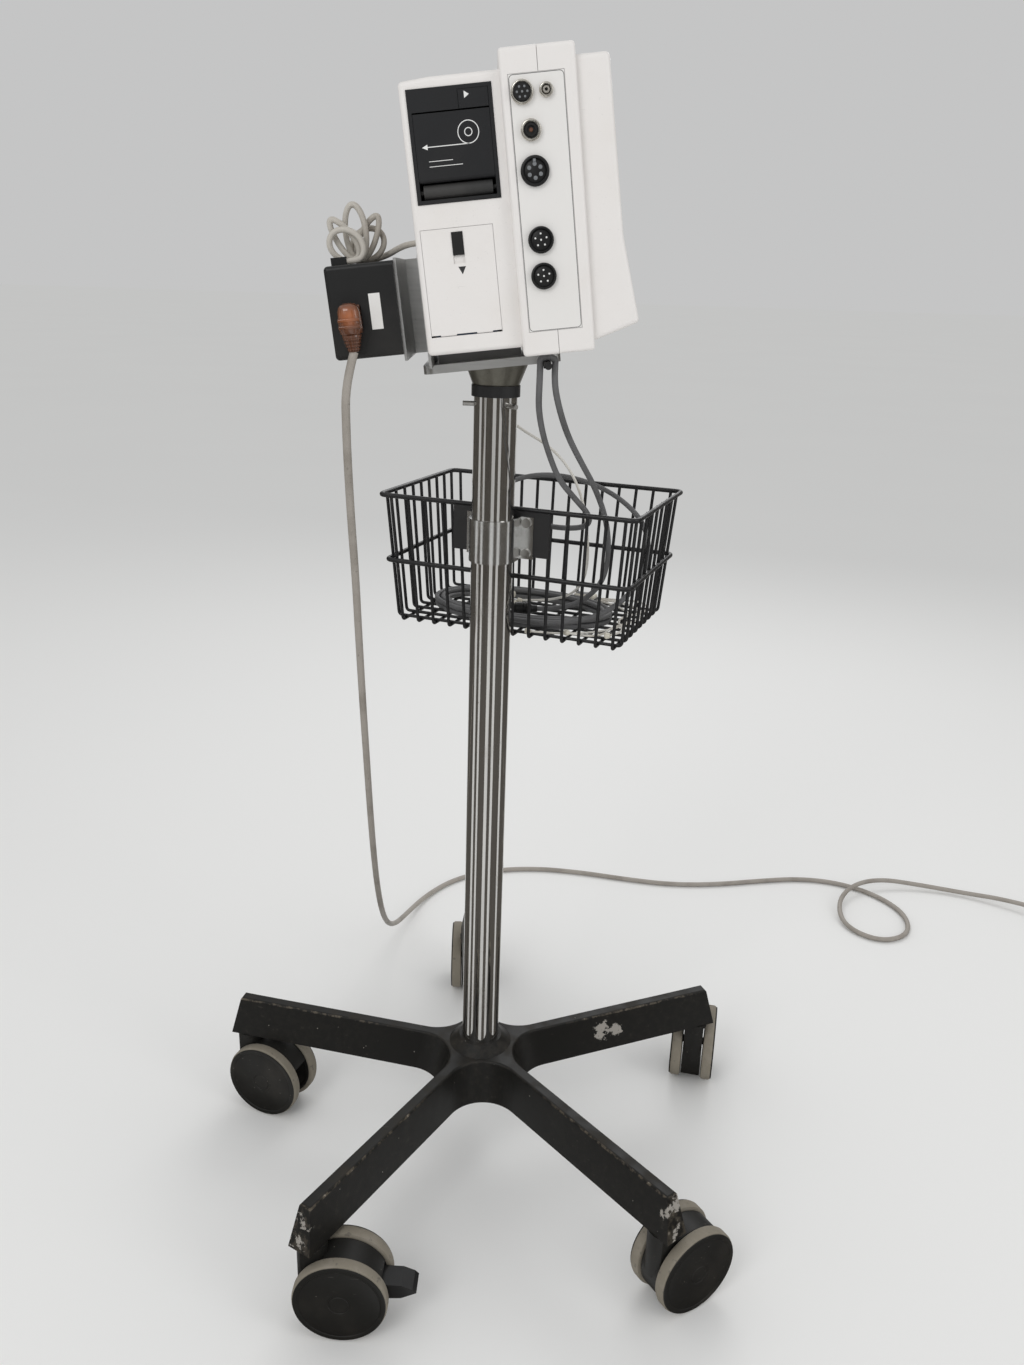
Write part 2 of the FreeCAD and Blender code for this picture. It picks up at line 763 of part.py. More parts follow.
def power_supply():
    back = "bracket_front + bracket_depth"
    node("psu_bracket", fuse(
        box((BRACKET_NEAR, "bracket_front", "-plate_top_drop"), (BRACKET_NEAR + " + bracket_wall", back, "bracket_top")),
        box((BRACKET_FAR, "bracket_front", "bracket_foot"), (BRACKET_FAR + " + bracket_wall", back, "bracket_top")),
        box((BRACKET_FAR, back + " - bracket_wall", "bracket_foot"), (BRACKET_NEAR, back, "bracket_top")),
    ), tilted)
    body = new_body("psu_body")
    plan = polygon(body, "psu_side", "XZ_Plane", [
        (PSU_FAR, "psu_foot"), (PSU_NEAR, "psu_foot"), (PSU_NEAR, "psu_foot + psu_height"),
        (PSU_FAR, "psu_foot + psu_height"),
    ], "-psu_front")
    pad(body, plan, "psu_depth", flip=True)
    fillet(body, "psu_edge_radius", lambda edge: edge.CenterOfMass.x < -size("plate_back") - size("bracket_inner"))
    slot_low = (INLET_U + " - inlet_width / 2", "psu_front", "inlet_height - inlet_width / 2")
    slot_high = (INLET_U + " + inlet_width / 2", "psu_front + inlet_depth", "inlet_height + inlet_width / 2")
    gland = box(("gland_end - gland_length", "hank_v - gland_width / 2", "psu_foot + psu_height - part_gap"),
                ("gland_end", "hank_v + gland_width / 2", "psu_foot + psu_height + gland_width"))
    node("psu_case", fuse(cut(body, box(slot_low, slot_high)), gland), tilted)
    half = "connector_width / 2"
    boot_u = INLET_U
    nose = box((INLET_U + " - inlet_width / 2 + part_gap", "psu_front - part_gap",
                "inlet_height - inlet_width / 2 + part_gap"),
               (INLET_U + " + inlet_width / 2 - part_gap", "psu_front + inlet_depth",
                "inlet_height + inlet_width / 2 - part_gap"))
    grip = box(("%s - %s" % (INLET_U, half), "psu_front - connector_depth", "inlet_height - connector_height / 2"),
               ("%s + %s" % (INLET_U, half), "psu_front - part_gap", "inlet_height + connector_height / 2"))
    boot = cone((boot_u, "psu_front - connector_depth / 2", "inlet_height - connector_height / 2"),
                "connector_depth / 3", "mains_diameter / 2 + 1", "boot_length", "-z")
    node("mains_connector", fuse(nose, grip, boot), tilted)


REAR_SEAM = "(seam - seam_gap / 2)"
FRONT_SEAM = "(seam + seam_gap / 2)"


def strip_part(body, name, edge, opening, panel_edge):
    """Half of the raised connector strip: its rim, hollow and the rebate for the connector panel."""
    inside = "%s %s case_wall" % (edge, "+" if edge == "strip_back" else "-")
    rim = polygon(body, name + "_rim", "XZ_Plane", [
        (edge, "strip_floor"), (opening, "strip_floor"), (opening, "strip_top"), (edge, "strip_top"),
    ])
    pad(body, rim, "2 * strip_half_width", both=True)
    reach = size("strip_half_width") - 0.001
    place = size(edge)
    fillet(body, "strip_edge_radius", lambda edge_: abs(edge_.CenterOfMass.y) > reach and edge_.BoundBox.XLength > 1
           or edge_.BoundBox.XLength < 0.001 and abs(edge_.CenterOfMass.x - place) < 0.001
           and max(abs(edge_.BoundBox.YMax), abs(edge_.BoundBox.YMin)) > reach)
    hollow = polygon(body, name + "_hollow", "XZ_Plane", [
        (inside, "strip_floor + case_wall"), ("seam", "strip_floor + case_wall"),
        ("seam", "strip_top - case_wall"), (inside, "strip_top - case_wall"),
    ])
    pocket(body, hollow, "2 * (strip_half_width - strip_side_wall)", both=True)
    sign = "+" if edge == "strip_back" else "-"
    ledge = "%s %s panel_ledge" % (panel_edge, sign)
    rebate = polygon(body, name + "_rebate", "XZ_Plane", [
        (panel_edge, "panel_floor"), ("seam", "panel_floor"), ("seam", "panel_top"), (panel_edge, "panel_top"),
    ], "strip_half_width - panel_thickness")
    pocket(body, rebate, "2 * panel_thickness", flip=True)
    window = polygon(body, name + "_window", "XZ_Plane", [
        (ledge, "panel_floor + panel_ledge"), ("seam", "panel_floor + panel_ledge"),
        ("seam", "panel_top - panel_ledge"), (ledge, "panel_top - panel_ledge"),
    ], "strip_half_width - 2 * strip_side_wall")
    pocket(body, window, "2 * strip_side_wall", flip=True)


def rear_case():
    body = new_body("rear_case")
    side = polygon(body, "rear_side", "XZ_Plane", [
        ("-case_back", "case_floor"), (REAR_SEAM, "case_floor"), (REAR_SEAM, "rear_top"),
        ("-rear_top_break", "rear_top"), ("-case_back", "rear_top_back"),
    ])
    pad(body, side, "2 * case_half_width", both=True)
    seam = size("seam") - size("seam_gap")
    fillet(body, "case_edge_radius", lambda edge: edge.BoundBox.XMin < seam - 1
           and not (edge.BoundBox.YLength > 1 and edge.BoundBox.XMin > -size("case_back") + 1))
    top = polygon(body, "top_pad", "XY_Plane", [
        ("-rear_top_break", "-pad_half_width"), ("pad_front", "-pad_half_width"),
        ("pad_front", "pad_half_width"), ("-rear_top_break", "pad_half_width"),
    ], "rear_top - case_wall / 2")
    pad(body, top, "case_wall / 2 + pad_height")
    crown = size("rear_top") + size("pad_height")
    fillet(body, "pad_height / 2", lambda edge: edge.BoundBox.ZMin > crown - 0.001)
    hollow = polygon(body, "rear_hollow", "XZ_Plane", [
        ("-case_back + case_wall", "case_floor + case_wall"), ("seam", "case_floor + case_wall"),
        ("seam", "rear_top - case_wall"), ("-rear_top_break", "rear_top - case_wall"),
        ("-case_back + case_wall", "rear_top_back - case_wall"),
    ])
    pocket(body, hollow, "2 * (case_half_width - case_wall)", both=True)
    strip_part(body, "rear_strip", "strip_back", REAR_SEAM, "panel_back")
    inner = "case_half_width - 2 * case_wall"
    recorder = polygon(body, "recorder_opening", "XZ_Plane", [
        ("-recorder_back", "recorder_floor"), ("recorder_front", "recorder_floor"),
        ("recorder_front", "recorder_top"), ("-recorder_back", "recorder_top"),
    ], inner)
    pocket(body, recorder, "3 * case_wall", flip=True)
    battery = polygon(body, "battery_opening", "XZ_Plane", [
        ("-battery_back", "battery_floor"), ("battery_front", "battery_floor"),
        ("battery_front", "battery_top"), ("-battery_back", "battery_top"),
    ], inner)
    pocket(body, battery, "3 * case_wall", flip=True)
    for k in range(int(size("vent_count"))):
        middle = "(%g - (vent_count - 1) / 2) * vent_pitch" % k
        vent = polygon(body, "vent%d" % k, "YZ_Plane", [
            ("%s - vent_width / 2" % middle, "vent_floor"), ("%s + vent_width / 2" % middle, "vent_floor"),
            ("%s + vent_width / 2" % middle, "vent_floor + vent_height"),
            ("%s - vent_width / 2" % middle, "vent_floor + vent_height"),
        ])
        pocket(body, vent, "2 * case_back")
    jack = circle(body, "dc_jack", "YZ_Plane", ("dc_jack_side", "dc_jack_height"), "dc_diameter / 2 + fit_gap")
    pocket(body, jack, "2 * case_back")
    node("rear_case", body, tilted)


def front_case():
    body = new_body("front_case_body")
    side = polygon(body, "front_side", "XZ_Plane", [
        (FRONT_SEAM, "case_floor"), ("front_floor", "case_floor"), ("face_foot", "face_foot_height"),
        ("face_break", "face_break_height"), ("face_top", "front_top"), (FRONT_SEAM, "front_top"),
    ])
    pad(body, side, "2 * case_half_width", both=True)
    seam = size("seam") + 1
    fillet(body, "case_edge_radius", lambda edge: edge.BoundBox.XMax > seam
           and (edge.BoundBox.YLength < 1 or edge.BoundBox.XMin > size("face_top") - 1
                and abs(edge.BoundBox.ZMin - size("face_break_height")) > 1))
    hollow = polygon(body, "front_hollow", "XZ_Plane", [
        ("seam", "case_floor + case_wall"), ("front_floor - case_wall / 4", "case_floor + case_wall"),
        ("face_foot - case_wall", "face_foot_height + case_wall / 1.3"),
        ("face_break - case_wall", "face_break_height"),
        ("face_top - case_wall", "front_top - case_wall"), ("seam", "front_top - case_wall"),
    ])
    pocket(body, hollow, "2 * (case_half_width - case_wall)", both=True)
    strip_part(body, "front_strip", "strip_front", FRONT_SEAM, "panel_front")
    screen = polygon(body, "screen_opening", "YZ_Plane", [
        ("-screen_half_width", "screen_floor"), ("screen_half_width", "screen_floor"),
        ("screen_half_width", "screen_top"), ("-screen_half_width", "screen_top"),
    ], "strip_front")
    pocket(body, screen, "face_foot", flip=True)
    holes = [cylinder(("-control_depth", "knob_side", "0"), "knob_shaft_radius + fit_gap", "2 * control_depth", "x")]
    for key in ("menu_key_side", "power_key_side"):
        holes.append(box(("-control_depth", key + " - key_length / 2 - part_gap", "-key_height / 2 - part_gap"),
                         ("control_depth", key + " + key_length / 2 + part_gap", "key_height / 2 + part_gap")))
    tools = group(*holes)
    put(tools, (FACE_U, "0", FACE_W), Rotation(Vector(0, 1, 0), -1))
    bind(tools, "Placement.Rotation.Angle", "-(%s)" % FACE_TURN)
    node("front_case", cut(body, tools), tilted)


def display():
    body = new_body("display_window")
    slope = "(face_break - face_top) / (front_top - face_break_height)"
    low = "(face_break - %s * (screen_floor + part_gap - face_break_height) - screen_set)" % slope
    high = "(face_break - %s * (screen_top - part_gap - face_break_height) - screen_set)" % slope
    side = polygon(body, "window_side", "XZ_Plane", [
        (low + " - case_wall", "screen_floor + part_gap"), (low, "screen_floor + part_gap"),
        (high, "screen_top - part_gap"), (high + " - case_wall", "screen_top - part_gap"),
    ])
    pad(body, side, "2 * (screen_half_width - part_gap)", both=True)
    node("display_window", body, tilted)
    back = high + " - case_wall - part_gap"
    node("lcd_module", group(box(
        (back + " - module_thickness", "-board_half_width", "screen_floor - panel_ledge"),
        (back, "board_half_width", "screen_top + panel_ledge"))), tilted)
    floor = "strip_floor + case_wall"
    node("main_board", group(box(
        (FRONT_SEAM + " + panel_ledge", "-board_half_width", floor),
        (FRONT_SEAM + " + panel_ledge + board_thickness", "board_half_width", floor + " + board_height"))), tilted)


SOCKETS = {
    "spo2": ("spo2_u", "spo2_w", "spo2_radius", 7),
    "cuff": ("cuff_u", "cuff_w", "cuff_radius", 0),
    "temp": ("temp_u", "temp_w", "temp_radius", 0),
    "ecg": ("ecg_u", "ecg_w", "ecg_radius", 6),
    "ibp_upper": ("ibp_u", "ibp_upper_w", "ibp_radius", 6),
    "ibp_lower": ("ibp_u", "ibp_lower_w", "ibp_radius", 6),
}


def socket(name):
    """A round cup through the panel, with contact pins or a centre sleeve standing in it."""
    along, up, radius, pins = SOCKETS[name]
    back = "-strip_half_width - socket_rise + socket_depth"
    bottom = "-strip_half_width - socket_rise + socket_recess"
    cup = cut(cylinder((along, back, up), radius, "socket_depth", "-y"),
              cylinder((along, bottom, up), radius + " - socket_rim", "socket_recess", "-y"))
    ring = "(%s - socket_rim) * 0.6" % radius
    contacts = [cylinder(("%s + %s * cos(%g)" % (along, ring, 360 * k / pins), bottom,
                          "%s + %s * sin(%g)" % (up, ring, 360 * k / pins)),
                         "contact_radius", "socket_recess / 2", "-y") for k in range(pins)]
    if not pins:
        contacts = [cylinder((along, bottom, up), "2 * contact_radius", "socket_recess / 2", "-y")]
    return fuse(cup, *contacts)


def connector_panel():
    front = "-strip_half_width"
    plate = box(("panel_back + part_gap", front, "panel_floor + part_gap"),
                ("panel_front - part_gap", front + " + panel_thickness", "panel_top - part_gap"))
    holes = [cylinder((along, front + " + panel_thickness", up), radius + " + fit_gap", "panel_thickness", "-y")
             for along, up, radius, pins in SOCKETS.values()]
    node("connector_panel", cut(plate, *holes), tilted)
    node("metal_sockets", group(*[socket(name) for name in ("spo2", "cuff", "temp")]), tilted)
    node("pin_sockets", group(*[socket(name) for name in ("ecg", "ibp_upper", "ibp_lower")]), tilted)


CASE_SIDE = "(-case_half_width)"
DOOR_AXIS = "(-case_half_width + door_thickness / 2 - recorder_proud)"
INNER_BACK = "(-recorder_back + part_gap + recorder_wall)"
INNER_FRONT = "(recorder_front - part_gap - recorder_wall)"
BAR_FLOOR = "(recorder_top - part_gap - recorder_wall - bar_height)"


def recorder():
    face = CASE_SIDE + " - recorder_proud"
    back = CASE_SIDE + " + recorder_depth"
    roll = ("roll_set + " + CASE_SIDE, "roll_height")
    roller = ("roller_set + " + CASE_SIDE, "roller_height")
    shell = box(("-recorder_back + part_gap", face, "recorder_floor + part_gap"),
                ("recorder_front - part_gap", back, "recorder_top - part_gap"))
    room = box((INNER_BACK, face, "recorder_floor + part_gap + recorder_wall"),
               (INNER_FRONT, back + " - recorder_wall", "recorder_top - part_gap - recorder_wall"))
    width = "(recorder_back + recorder_front - 2 * part_gap)"
    start = "-recorder_back + part_gap"
    pin_start = start + " + recorder_wall / 3"
    pin_length = width + " - 2 * recorder_wall / 3"
    holes = [cylinder((pin_start,) + roller, "roller_pin_radius + fit_gap", pin_length, "x"),
             cylinder((pin_start, DOOR_AXIS, "door_floor"), "door_pin_radius + fit_gap", pin_length, "x")]
    bar = box((INNER_BACK, face, BAR_FLOOR),
              (INNER_FRONT + " - button_width - part_gap", face + " + bar_depth",
               "recorder_top - part_gap - recorder_wall"))
    spindle = cylinder((start,) + roll, "roll_core_radius - fit_gap", width, "x")
    node("recorder_frame", fuse(cut(shell, room, *holes), bar, spindle), tilted)
    leaf = box((INNER_BACK + " + part_gap", face, "door_floor"),
               (INNER_FRONT + " - part_gap", face + " + door_thickness", BAR_FLOOR + " - 4 * part_gap"))
    edge = cylinder((INNER_BACK + " + part_gap", DOOR_AXIS, "door_floor"), "door_thickness / 2",
                    "%s - %s - 2 * part_gap" % (INNER_FRONT, INNER_BACK), "x")
    pin = cylinder((pin_start + " + part_gap / 2", DOOR_AXIS, "door_floor"), "door_pin_radius",
                   pin_length + " - part_gap", "x")
    node("recorder_door", fuse(leaf, edge, pin), tilted)
    node("recorder_button", group(box(
        (INNER_FRONT + " - button_width", face + " - recorder_proud / 2", BAR_FLOOR),
        (INNER_FRONT + " - part_gap", face + " + bar_depth", "recorder_top - 2 * part_gap - recorder_wall"))), tilted)
    node("platen_roller", fuse(
        cylinder((INNER_BACK + " + recorder_wall",) + roller, "roller_radius",
                 "%s - %s - 2 * recorder_wall" % (INNER_FRONT, INNER_BACK), "x"),
        cylinder((pin_start + " + part_gap / 2",) + roller, "roller_pin_radius", pin_length + " - part_gap", "x"),
    ), tilted)
    middle = "(%s + %s - roll_width) / 2" % (INNER_BACK, INNER_FRONT)
    node("paper_roll", cut(cylinder((middle,) + roll, "roll_radius", "roll_width", "x"),
                           cylinder((middle,) + roll, "roll_core_radius", "roll_width", "x")), tilted)


HINGE_V = "(-case_half_width + battery_door_thickness / 2)"
HINGE_W = "(battery_floor + part_gap + battery_door_thickness / 2)"
LATCH_U = "((battery_front - battery_back) / 2)"


def battery():
    back = "-battery_back + part_gap"
    front = "battery_front - part_gap"
    leaf = box((back, CASE_SIDE, HINGE_W), (front, CASE_SIDE + " + battery_door_thickness", "battery_top - part_gap"))
    tabs = [cylinder((start, HINGE_V, HINGE_W), "battery_door_thickness / 2", "tab_length", "x")
            for start in (back + " + tab_inset", front + " - tab_inset - tab_length")]
    half = "(latch_width / 2 + part_gap)"
    recess = box((LATCH_U + " - %s" % half, CASE_SIDE, "latch_centre - latch_height / 2 - latch_travel - 2 * part_gap"),
                 (LATCH_U + " + %s" % half, CASE_SIDE + " + latch_recess", "latch_centre + latch_height / 2 + part_gap"))
    node("battery_door", cut(fuse(leaf, *tabs), recess), tilted)
    seat = CASE_SIDE + " + latch_recess - part_gap"
    node("battery_latch", group(box(
        (LATCH_U + " - latch_width / 2", seat + " - latch_thickness", "latch_centre - latch_height / 2"),
        (LATCH_U + " + latch_width / 2", seat, "latch_centre + latch_height / 2"))), tilted)
    near = CASE_SIDE + " + pack_margin"
    node("battery_pack", group(box(
        (back + " + pack_margin", near, "case_floor + case_wall"),
        (front + " - pack_margin", near + " + pack_length", "case_floor + case_wall + pack_height"))), tilted)


def controls():
    knob = new_body("knob_body")
    side = polygon(knob, "knob_side_view", "XY_Plane", [
        ("part_gap", "0"), ("part_gap", "knob_radius"), ("part_gap + knob_height", "knob_radius - key_edge_radius"),
        ("part_gap + knob_height", "0"),
    ])
    revolve(knob, side, "X_Axis")
    end = size("part_gap") + size("knob_height") - 0.001
    fillet(knob, "key_edge_radius", lambda edge: edge.BoundBox.XMin > end and edge.BoundBox.YLength > 1)
    shaft = cylinder(("-control_depth", "0", "0"), "knob_shaft_radius", "control_depth + knob_height / 2", "x")
    turned = fuse(knob, shaft)
    put(turned, ("0", "knob_side", "0"))
    node("select_knob", group(turned), on_face)
    for label, place in (("menu_key", "menu_key_side"), ("power_key", "power_key_side")):
        body = new_body(label + "_body")
        plan = polygon(body, label + "_plan", "YZ_Plane", [
            (place + " - key_length / 2", "-key_height / 2"), (place + " + key_length / 2", "-key_height / 2"),
            (place + " + key_length / 2", "key_height / 2"), (place + " - key_length / 2", "key_height / 2"),
        ], "-control_depth / 2")
        pad(body, plan, "control_depth / 2 + key_proud")
        proud = size("key_proud") - 0.001
        fillet(body, "key_edge_radius", lambda edge: edge.BoundBox.XMin > proud)
        node(label, group(body), on_face)


def casters():
    wheel_radius = "(wheel_diameter / 2)"
    half = "hood_width / 2"

    def across(radius, width):
        return cylinder(("caster_trail", "-(%s) / 2" % width, wheel_radius), radius, width, "y")

    top = LEG_FLOOR + " - part_gap"
    mouth = box(("caster_trail + hood_mouth_set", "-hood_width", "0"),
                ("caster_trail + 2 * hood_radius", "hood_width", wheel_radius + " + hood_mouth_rise"))
    under = box(("-caster_trail", "-hood_width", "-hood_floor_gap"),
                ("caster_trail + 2 * hood_radius", "hood_width", "hood_floor_gap"))
    neck = common(cylinder(("0", "0", wheel_radius), "neck_radius", "%s - %s" % (top, wheel_radius)),
                  box(("-neck_radius", "-" + half, wheel_radius), ("neck_radius", half, top)))
    flange = cylinder(("0", "0", top + " - neck_flange"), "neck_radius", "neck_flange")
    axle = "hood_width + 2 * (wheel_gap + wheel_width - 3 * cap_thickness)"
    yoke = fuse(cut(across("hood_radius", "hood_width"), mouth, under), across("boss_radius", "hood_width"),
                neck, flange, across("axle_diameter / 2", axle))
    bore = cylinder(("0", "0", LEG_FLOOR + " - stem_drop - part_gap"), "stem_diameter / 2 + fit_gap", "2 * stem_drop")
    hood = cut(yoke, bore)

    inner = "(hood_width / 2 + wheel_gap)"
    outer = "(hood_width / 2 + wheel_gap + wheel_width)"
    disc = new_body("wheel_disc")
    bore_radius = "axle_diameter / 2 + fit_gap"
    section = polygon(disc, "disc_section", "XY_Plane", [
        (bore_radius, inner), ("disc_radius", inner), ("disc_radius", outer + " - cap_thickness"),
        ("cap_radius", outer + " - cap_thickness"), ("cap_radius", outer), ("0", outer),
        ("0", outer + " - 2 * cap_thickness"), (bore_radius, outer + " - 2 * cap_thickness"),
    ])
    revolve(disc, section, "Y_Axis")
    tyre = new_body("wheel_tyre")
    section = polygon(tyre, "tyre_section", "XY_Plane", [
        ("disc_radius", inner), (wheel_radius, inner), (wheel_radius, outer + " - cap_thickness"),
        ("disc_radius", outer + " - cap_thickness"),
    ])
    revolve(tyre, section, "Y_Axis")
    rim = size("wheel_diameter") / 2 - 0.01
    fillet(tyre, "cap_thickness", lambda edge: edge.BoundBox.XMax > rim and edge.BoundBox.YLength < 0.01)
    for place, (name, trail) in enumerate(CASTERS):
        frame = at_caster(place, trail)
        node("hood_" + name, group(hood), frame)
        for side, turn in (("outer", Rotation()), ("inner", Rotation(Vector(0, 0, 1), 180))):
            wheel = group(disc, tyre)
            put(wheel, ("caster_trail", "0", wheel_radius), turn)
            node("wheel_%s_%s" % (name, side), group(wheel), frame)
    pedal = new_body("pedal_body")
    side = polygon(pedal, "pedal_side", "XZ_Plane", [
        ("2 * hood_mouth_set", "-pedal_thickness / 2"), ("pedal_reach - pedal_thickness", "-pedal_thickness / 4"),
        ("pedal_reach", "pedal_thickness / 4"), ("pedal_reach - pedal_thickness / 4", "pedal_thickness / 2"),
        ("pedal_reach - pedal_thickness", "0.8 * pedal_thickness"), ("2 * hood_mouth_set", "0.8 * pedal_thickness"),
    ])
    pad(pedal, side, "hood_width", both=True)
    lever = cut(pedal, cylinder(("0", "-hood_width", "0"), "boss_radius + fit_gap", "2 * hood_width", "y"))
    put(lever, ("caster_trail", "0", wheel_radius))
    place = [name for name, trail in CASTERS].index("front_left")
    node("brake_pedal", group(lever), at_caster(place, CASTERS[place][1]))


def unit(vector):
    """A vector of length 1 along another."""
    copy = Vector(vector)
    copy.normalize()
    return copy


def arc_through(start, tangent, end):
    """The arc that leaves a point along a tangent and ends at another point."""
    chord = end - start
    along = unit(chord)
    off = tangent - along * tangent.dot(along)
    if off.Length < 1e-6:
        return Part.LineSegment(start, end).toShape()
    angle = along.getAngle(tangent)
    middle = (start + end) * 0.5 + unit(off) * (chord.Length / 2 * math.tan(angle / 2))
    return Part.Arc(start, middle, end).toShape()


def biarcs(points, tangents):
    """Two tangent arcs from each point to the next."""
    edges = []
    for a, b, s, e in zip(points, points[1:], tangents, tangents[1:]):
        span = b - a
        both = s + e
        bend = 2 * (1 - s.dot(e))
        if bend < 1e-6:
            reach = span.dot(span) / (4 * span.dot(e))
        else:
            reach = (-span.dot(both) + math.sqrt(span.dot(both) ** 2 + bend * span.dot(span))) / bend
        joint = (a + b + (s - e) * reach) * 0.5
        edges.append(arc_through(a, s, joint))
        edges.append(arc_through(joint, unit((b - e * reach) - (a + s * reach)), b))
    return edges


RUN_SHARE = 0.45


def bends(label, points):
    """Straight runs joined by tangent arcs as large as the runs allow; prints the radii."""
    edges = []
    radii = []
    last = points[0]
    for a, b, c in zip(points, points[1:], points[2:]):
        before, after = unit(b - a), unit(c - b)
        turn = before.getAngle(after)
        run = RUN_SHARE * min((b - a).Length, (c - b).Length)
        start, end = b - before * run, b + after * run
        edges.append(Part.LineSegment(last, start).toShape())
        edges.append(arc_through(start, before, end))
        radii.append(run / math.tan(turn / 2))
        last = end
    edges.append(Part.LineSegment(last, points[-1]).toShape())
    print("%s radii %s" % (label, " ".join("%.0f" % radius for radius in radii)))
    return edges


def tube(label, edges, diameter):
    """A round cord along a path, its volume compared with its section times its length."""
    path = Part.Wire(edges)
    start = path.Edges[0]
    direction = start.tangentAt(start.FirstParameter)
    ring = Part.Wire(Part.makeCircle(diameter / 2, start.valueAt(start.FirstParameter), direction))
    solid = path.makePipeShell([ring], True, False)
    share = solid.Volume / (math.pi * diameter ** 2 / 4 * path.Length)
    print("%s length %.0f volume share %.3f valid %s" % (label, path.Length, share, solid.isValid()))
    return solid


def self_gap(label, points, tangents, diameter, turn_points):
    """The least gap between turns of a coil, measured on points along it."""
    path = Part.Wire(biarcs(points, tangents))
    samples = path.discretize(Number=len(points) * 4)
    apart = turn_points * 2
    least = min((samples[i] - samples[j]).Length for i in range(len(samples))
                for j in range(i + apart, len(samples)))
    print("%s least gap to itself %.2f" % (label, least - diameter))


# Free routes, point by point, in the stand's own frame.
MAINS_ROUTE = [
    (-136, -116, 952), (-137, -108, 912), (-138, -92, 870), (-138, -76, 818), (-138, -52, 760), (-139, -26, 690),
    (-140, 8, 600), (-141, 46, 512), (-143, 94, 416), (-145, 148, 322), (-147, 210, 236), (-148, 280, 158),
    (-147, 356, 94), (-142, 436, 46), (-130, 516, 17), (-104, 592, 5), (-56, 655, 4), (16, 692, 4), (98, 702, 4),
    (182, 690, 4), (264, 668, 4), (346, 652, 4), (430, 656, 4), (512, 672, 4), (592, 684, 4), (664, 670, 4),
    (722, 626, 4), (752, 562, 4), (734, 496, 4), (676, 474, 4), (628, 518, 5), (634, 586, 11), (674, 640, 17),
    (734, 666, 17), (806, 662, 9), (884, 640, 6), (956, 602, 14), (1014, 556, 17.5),
]
# The power lead, from the monitor's back to its wound part, in the tilted frame.
DC_ROUTE = [
    (-59.8, -60, 108), (-69, -57, 108), (-80, -46, 106), (-91, -37.5, 101.5), (-101, -37, 98.9),
]
# The patient cable's loose loop in the basket, from the end of its wound part, in the basket's frame.
PATIENT_LOOP = [
    (-10, 62, 684.1), (24, 60, 684.5), (62, 62, 687), (100, 76, 697), (126, 108, 718), (134, 148, 748),
    (118, 184, 782), (78, 203, 808), (30, 207, 824), (-18, 198, 828), (-50, 170, 820), (-52, 134, 808),
    (-26, 104, 796), (14, 88, 790), (52, 80, 790), (82, 68, 797), (92, 48, 813), (80, 28, 834),
]
PATIENT_LEFT = [
    (66, -22, 856), (54, -50, 884), (45, -74, 910), (40, -92, 934), (39.7, -102, 952), (39.7, -104, 963),
    (39.7, -104, 973.7),
]
PATIENT_RIGHT = [
    (53.3, -104, 973.7), (53.3, -104, 963), (55, -101, 949), (62, -86, 926), (72, -62, 902), (88, -32, 874),
    (106, -2, 844), (122, 28, 806), (130, 56, 764), (128, 80, 726), (112, 90, 702), (84, 94, 687), (54, 94, 686.5),
]
SENSOR_DROP = [
    (0, 45, 961), (0, 45, 944), (2, 46, 926), (12, 48, 908), (32, 50, 894), (58, 52, 880), (82, 56, 856),
    (98, 62, 822), (106, 72, 784),
]
SENSOR_IN_BASKET = [
    (70, 118, 748), (62, 132, 720), (46, 142, 700), (24, 145, 690), (0, 141, 686), (-22, 136, 685),
]
LEAD_ROUTES = [
    [(58, 194, 681), (70, 193.5, 680.2), (82, 190, 679), (93, 184, 678.2), (103, 175, 678), (111, 163, 678),
     (116, 148, 678), (118, 131, 678), (116, 114, 678), (110, 98, 678), (101, 84, 678), (90, 72, 678),
     (77, 62, 678), (62, 54, 678), (46, 49, 678), (30, 47, 678)],
    [(58, 198, 681), (71, 198.5, 681), (84, 197, 681.2), (97, 193, 681.5), (109, 186, 681.5), (119, 175, 681.5),
     (126, 161, 681.5), (129, 145, 681.5), (127, 128, 681.5), (121, 112, 681.5), (113, 97, 681.5),
     (109, 82, 681.5), (110, 66, 681.5), (104, 53, 681.5), (90, 47, 681.5), (75, 49, 681.5)],
    [(58, 202, 681), (72, 203, 681.5), (86, 203, 682.6), (100, 201, 684), (112, 197, 685), (122, 189, 685),
     (129, 177, 685), (130, 162, 685), (125, 147, 685), (117, 134, 685), (112, 118, 685), (114, 102, 685),
     (122, 89, 685), (127, 75, 685), (126, 62, 685), (120, 52, 685)],
]


def vectors(route):
    return [Vector(*point) for point in route]


def along_turns(count, place, step=0.001):
    """Points and unit tangents of a formula at even shares of its length parameter."""
    points = [place(k / count) for k in range(count + 1)]
    tangents = []
    for k in range(count + 1):
        low, high = max(0.0, k / count - step), min(1.0, k / count + step)
        tangents.append(unit(place(high) - place(low)))
    return points, tangents


TURN_POINTS = 8
LOOP_POINTS = 14


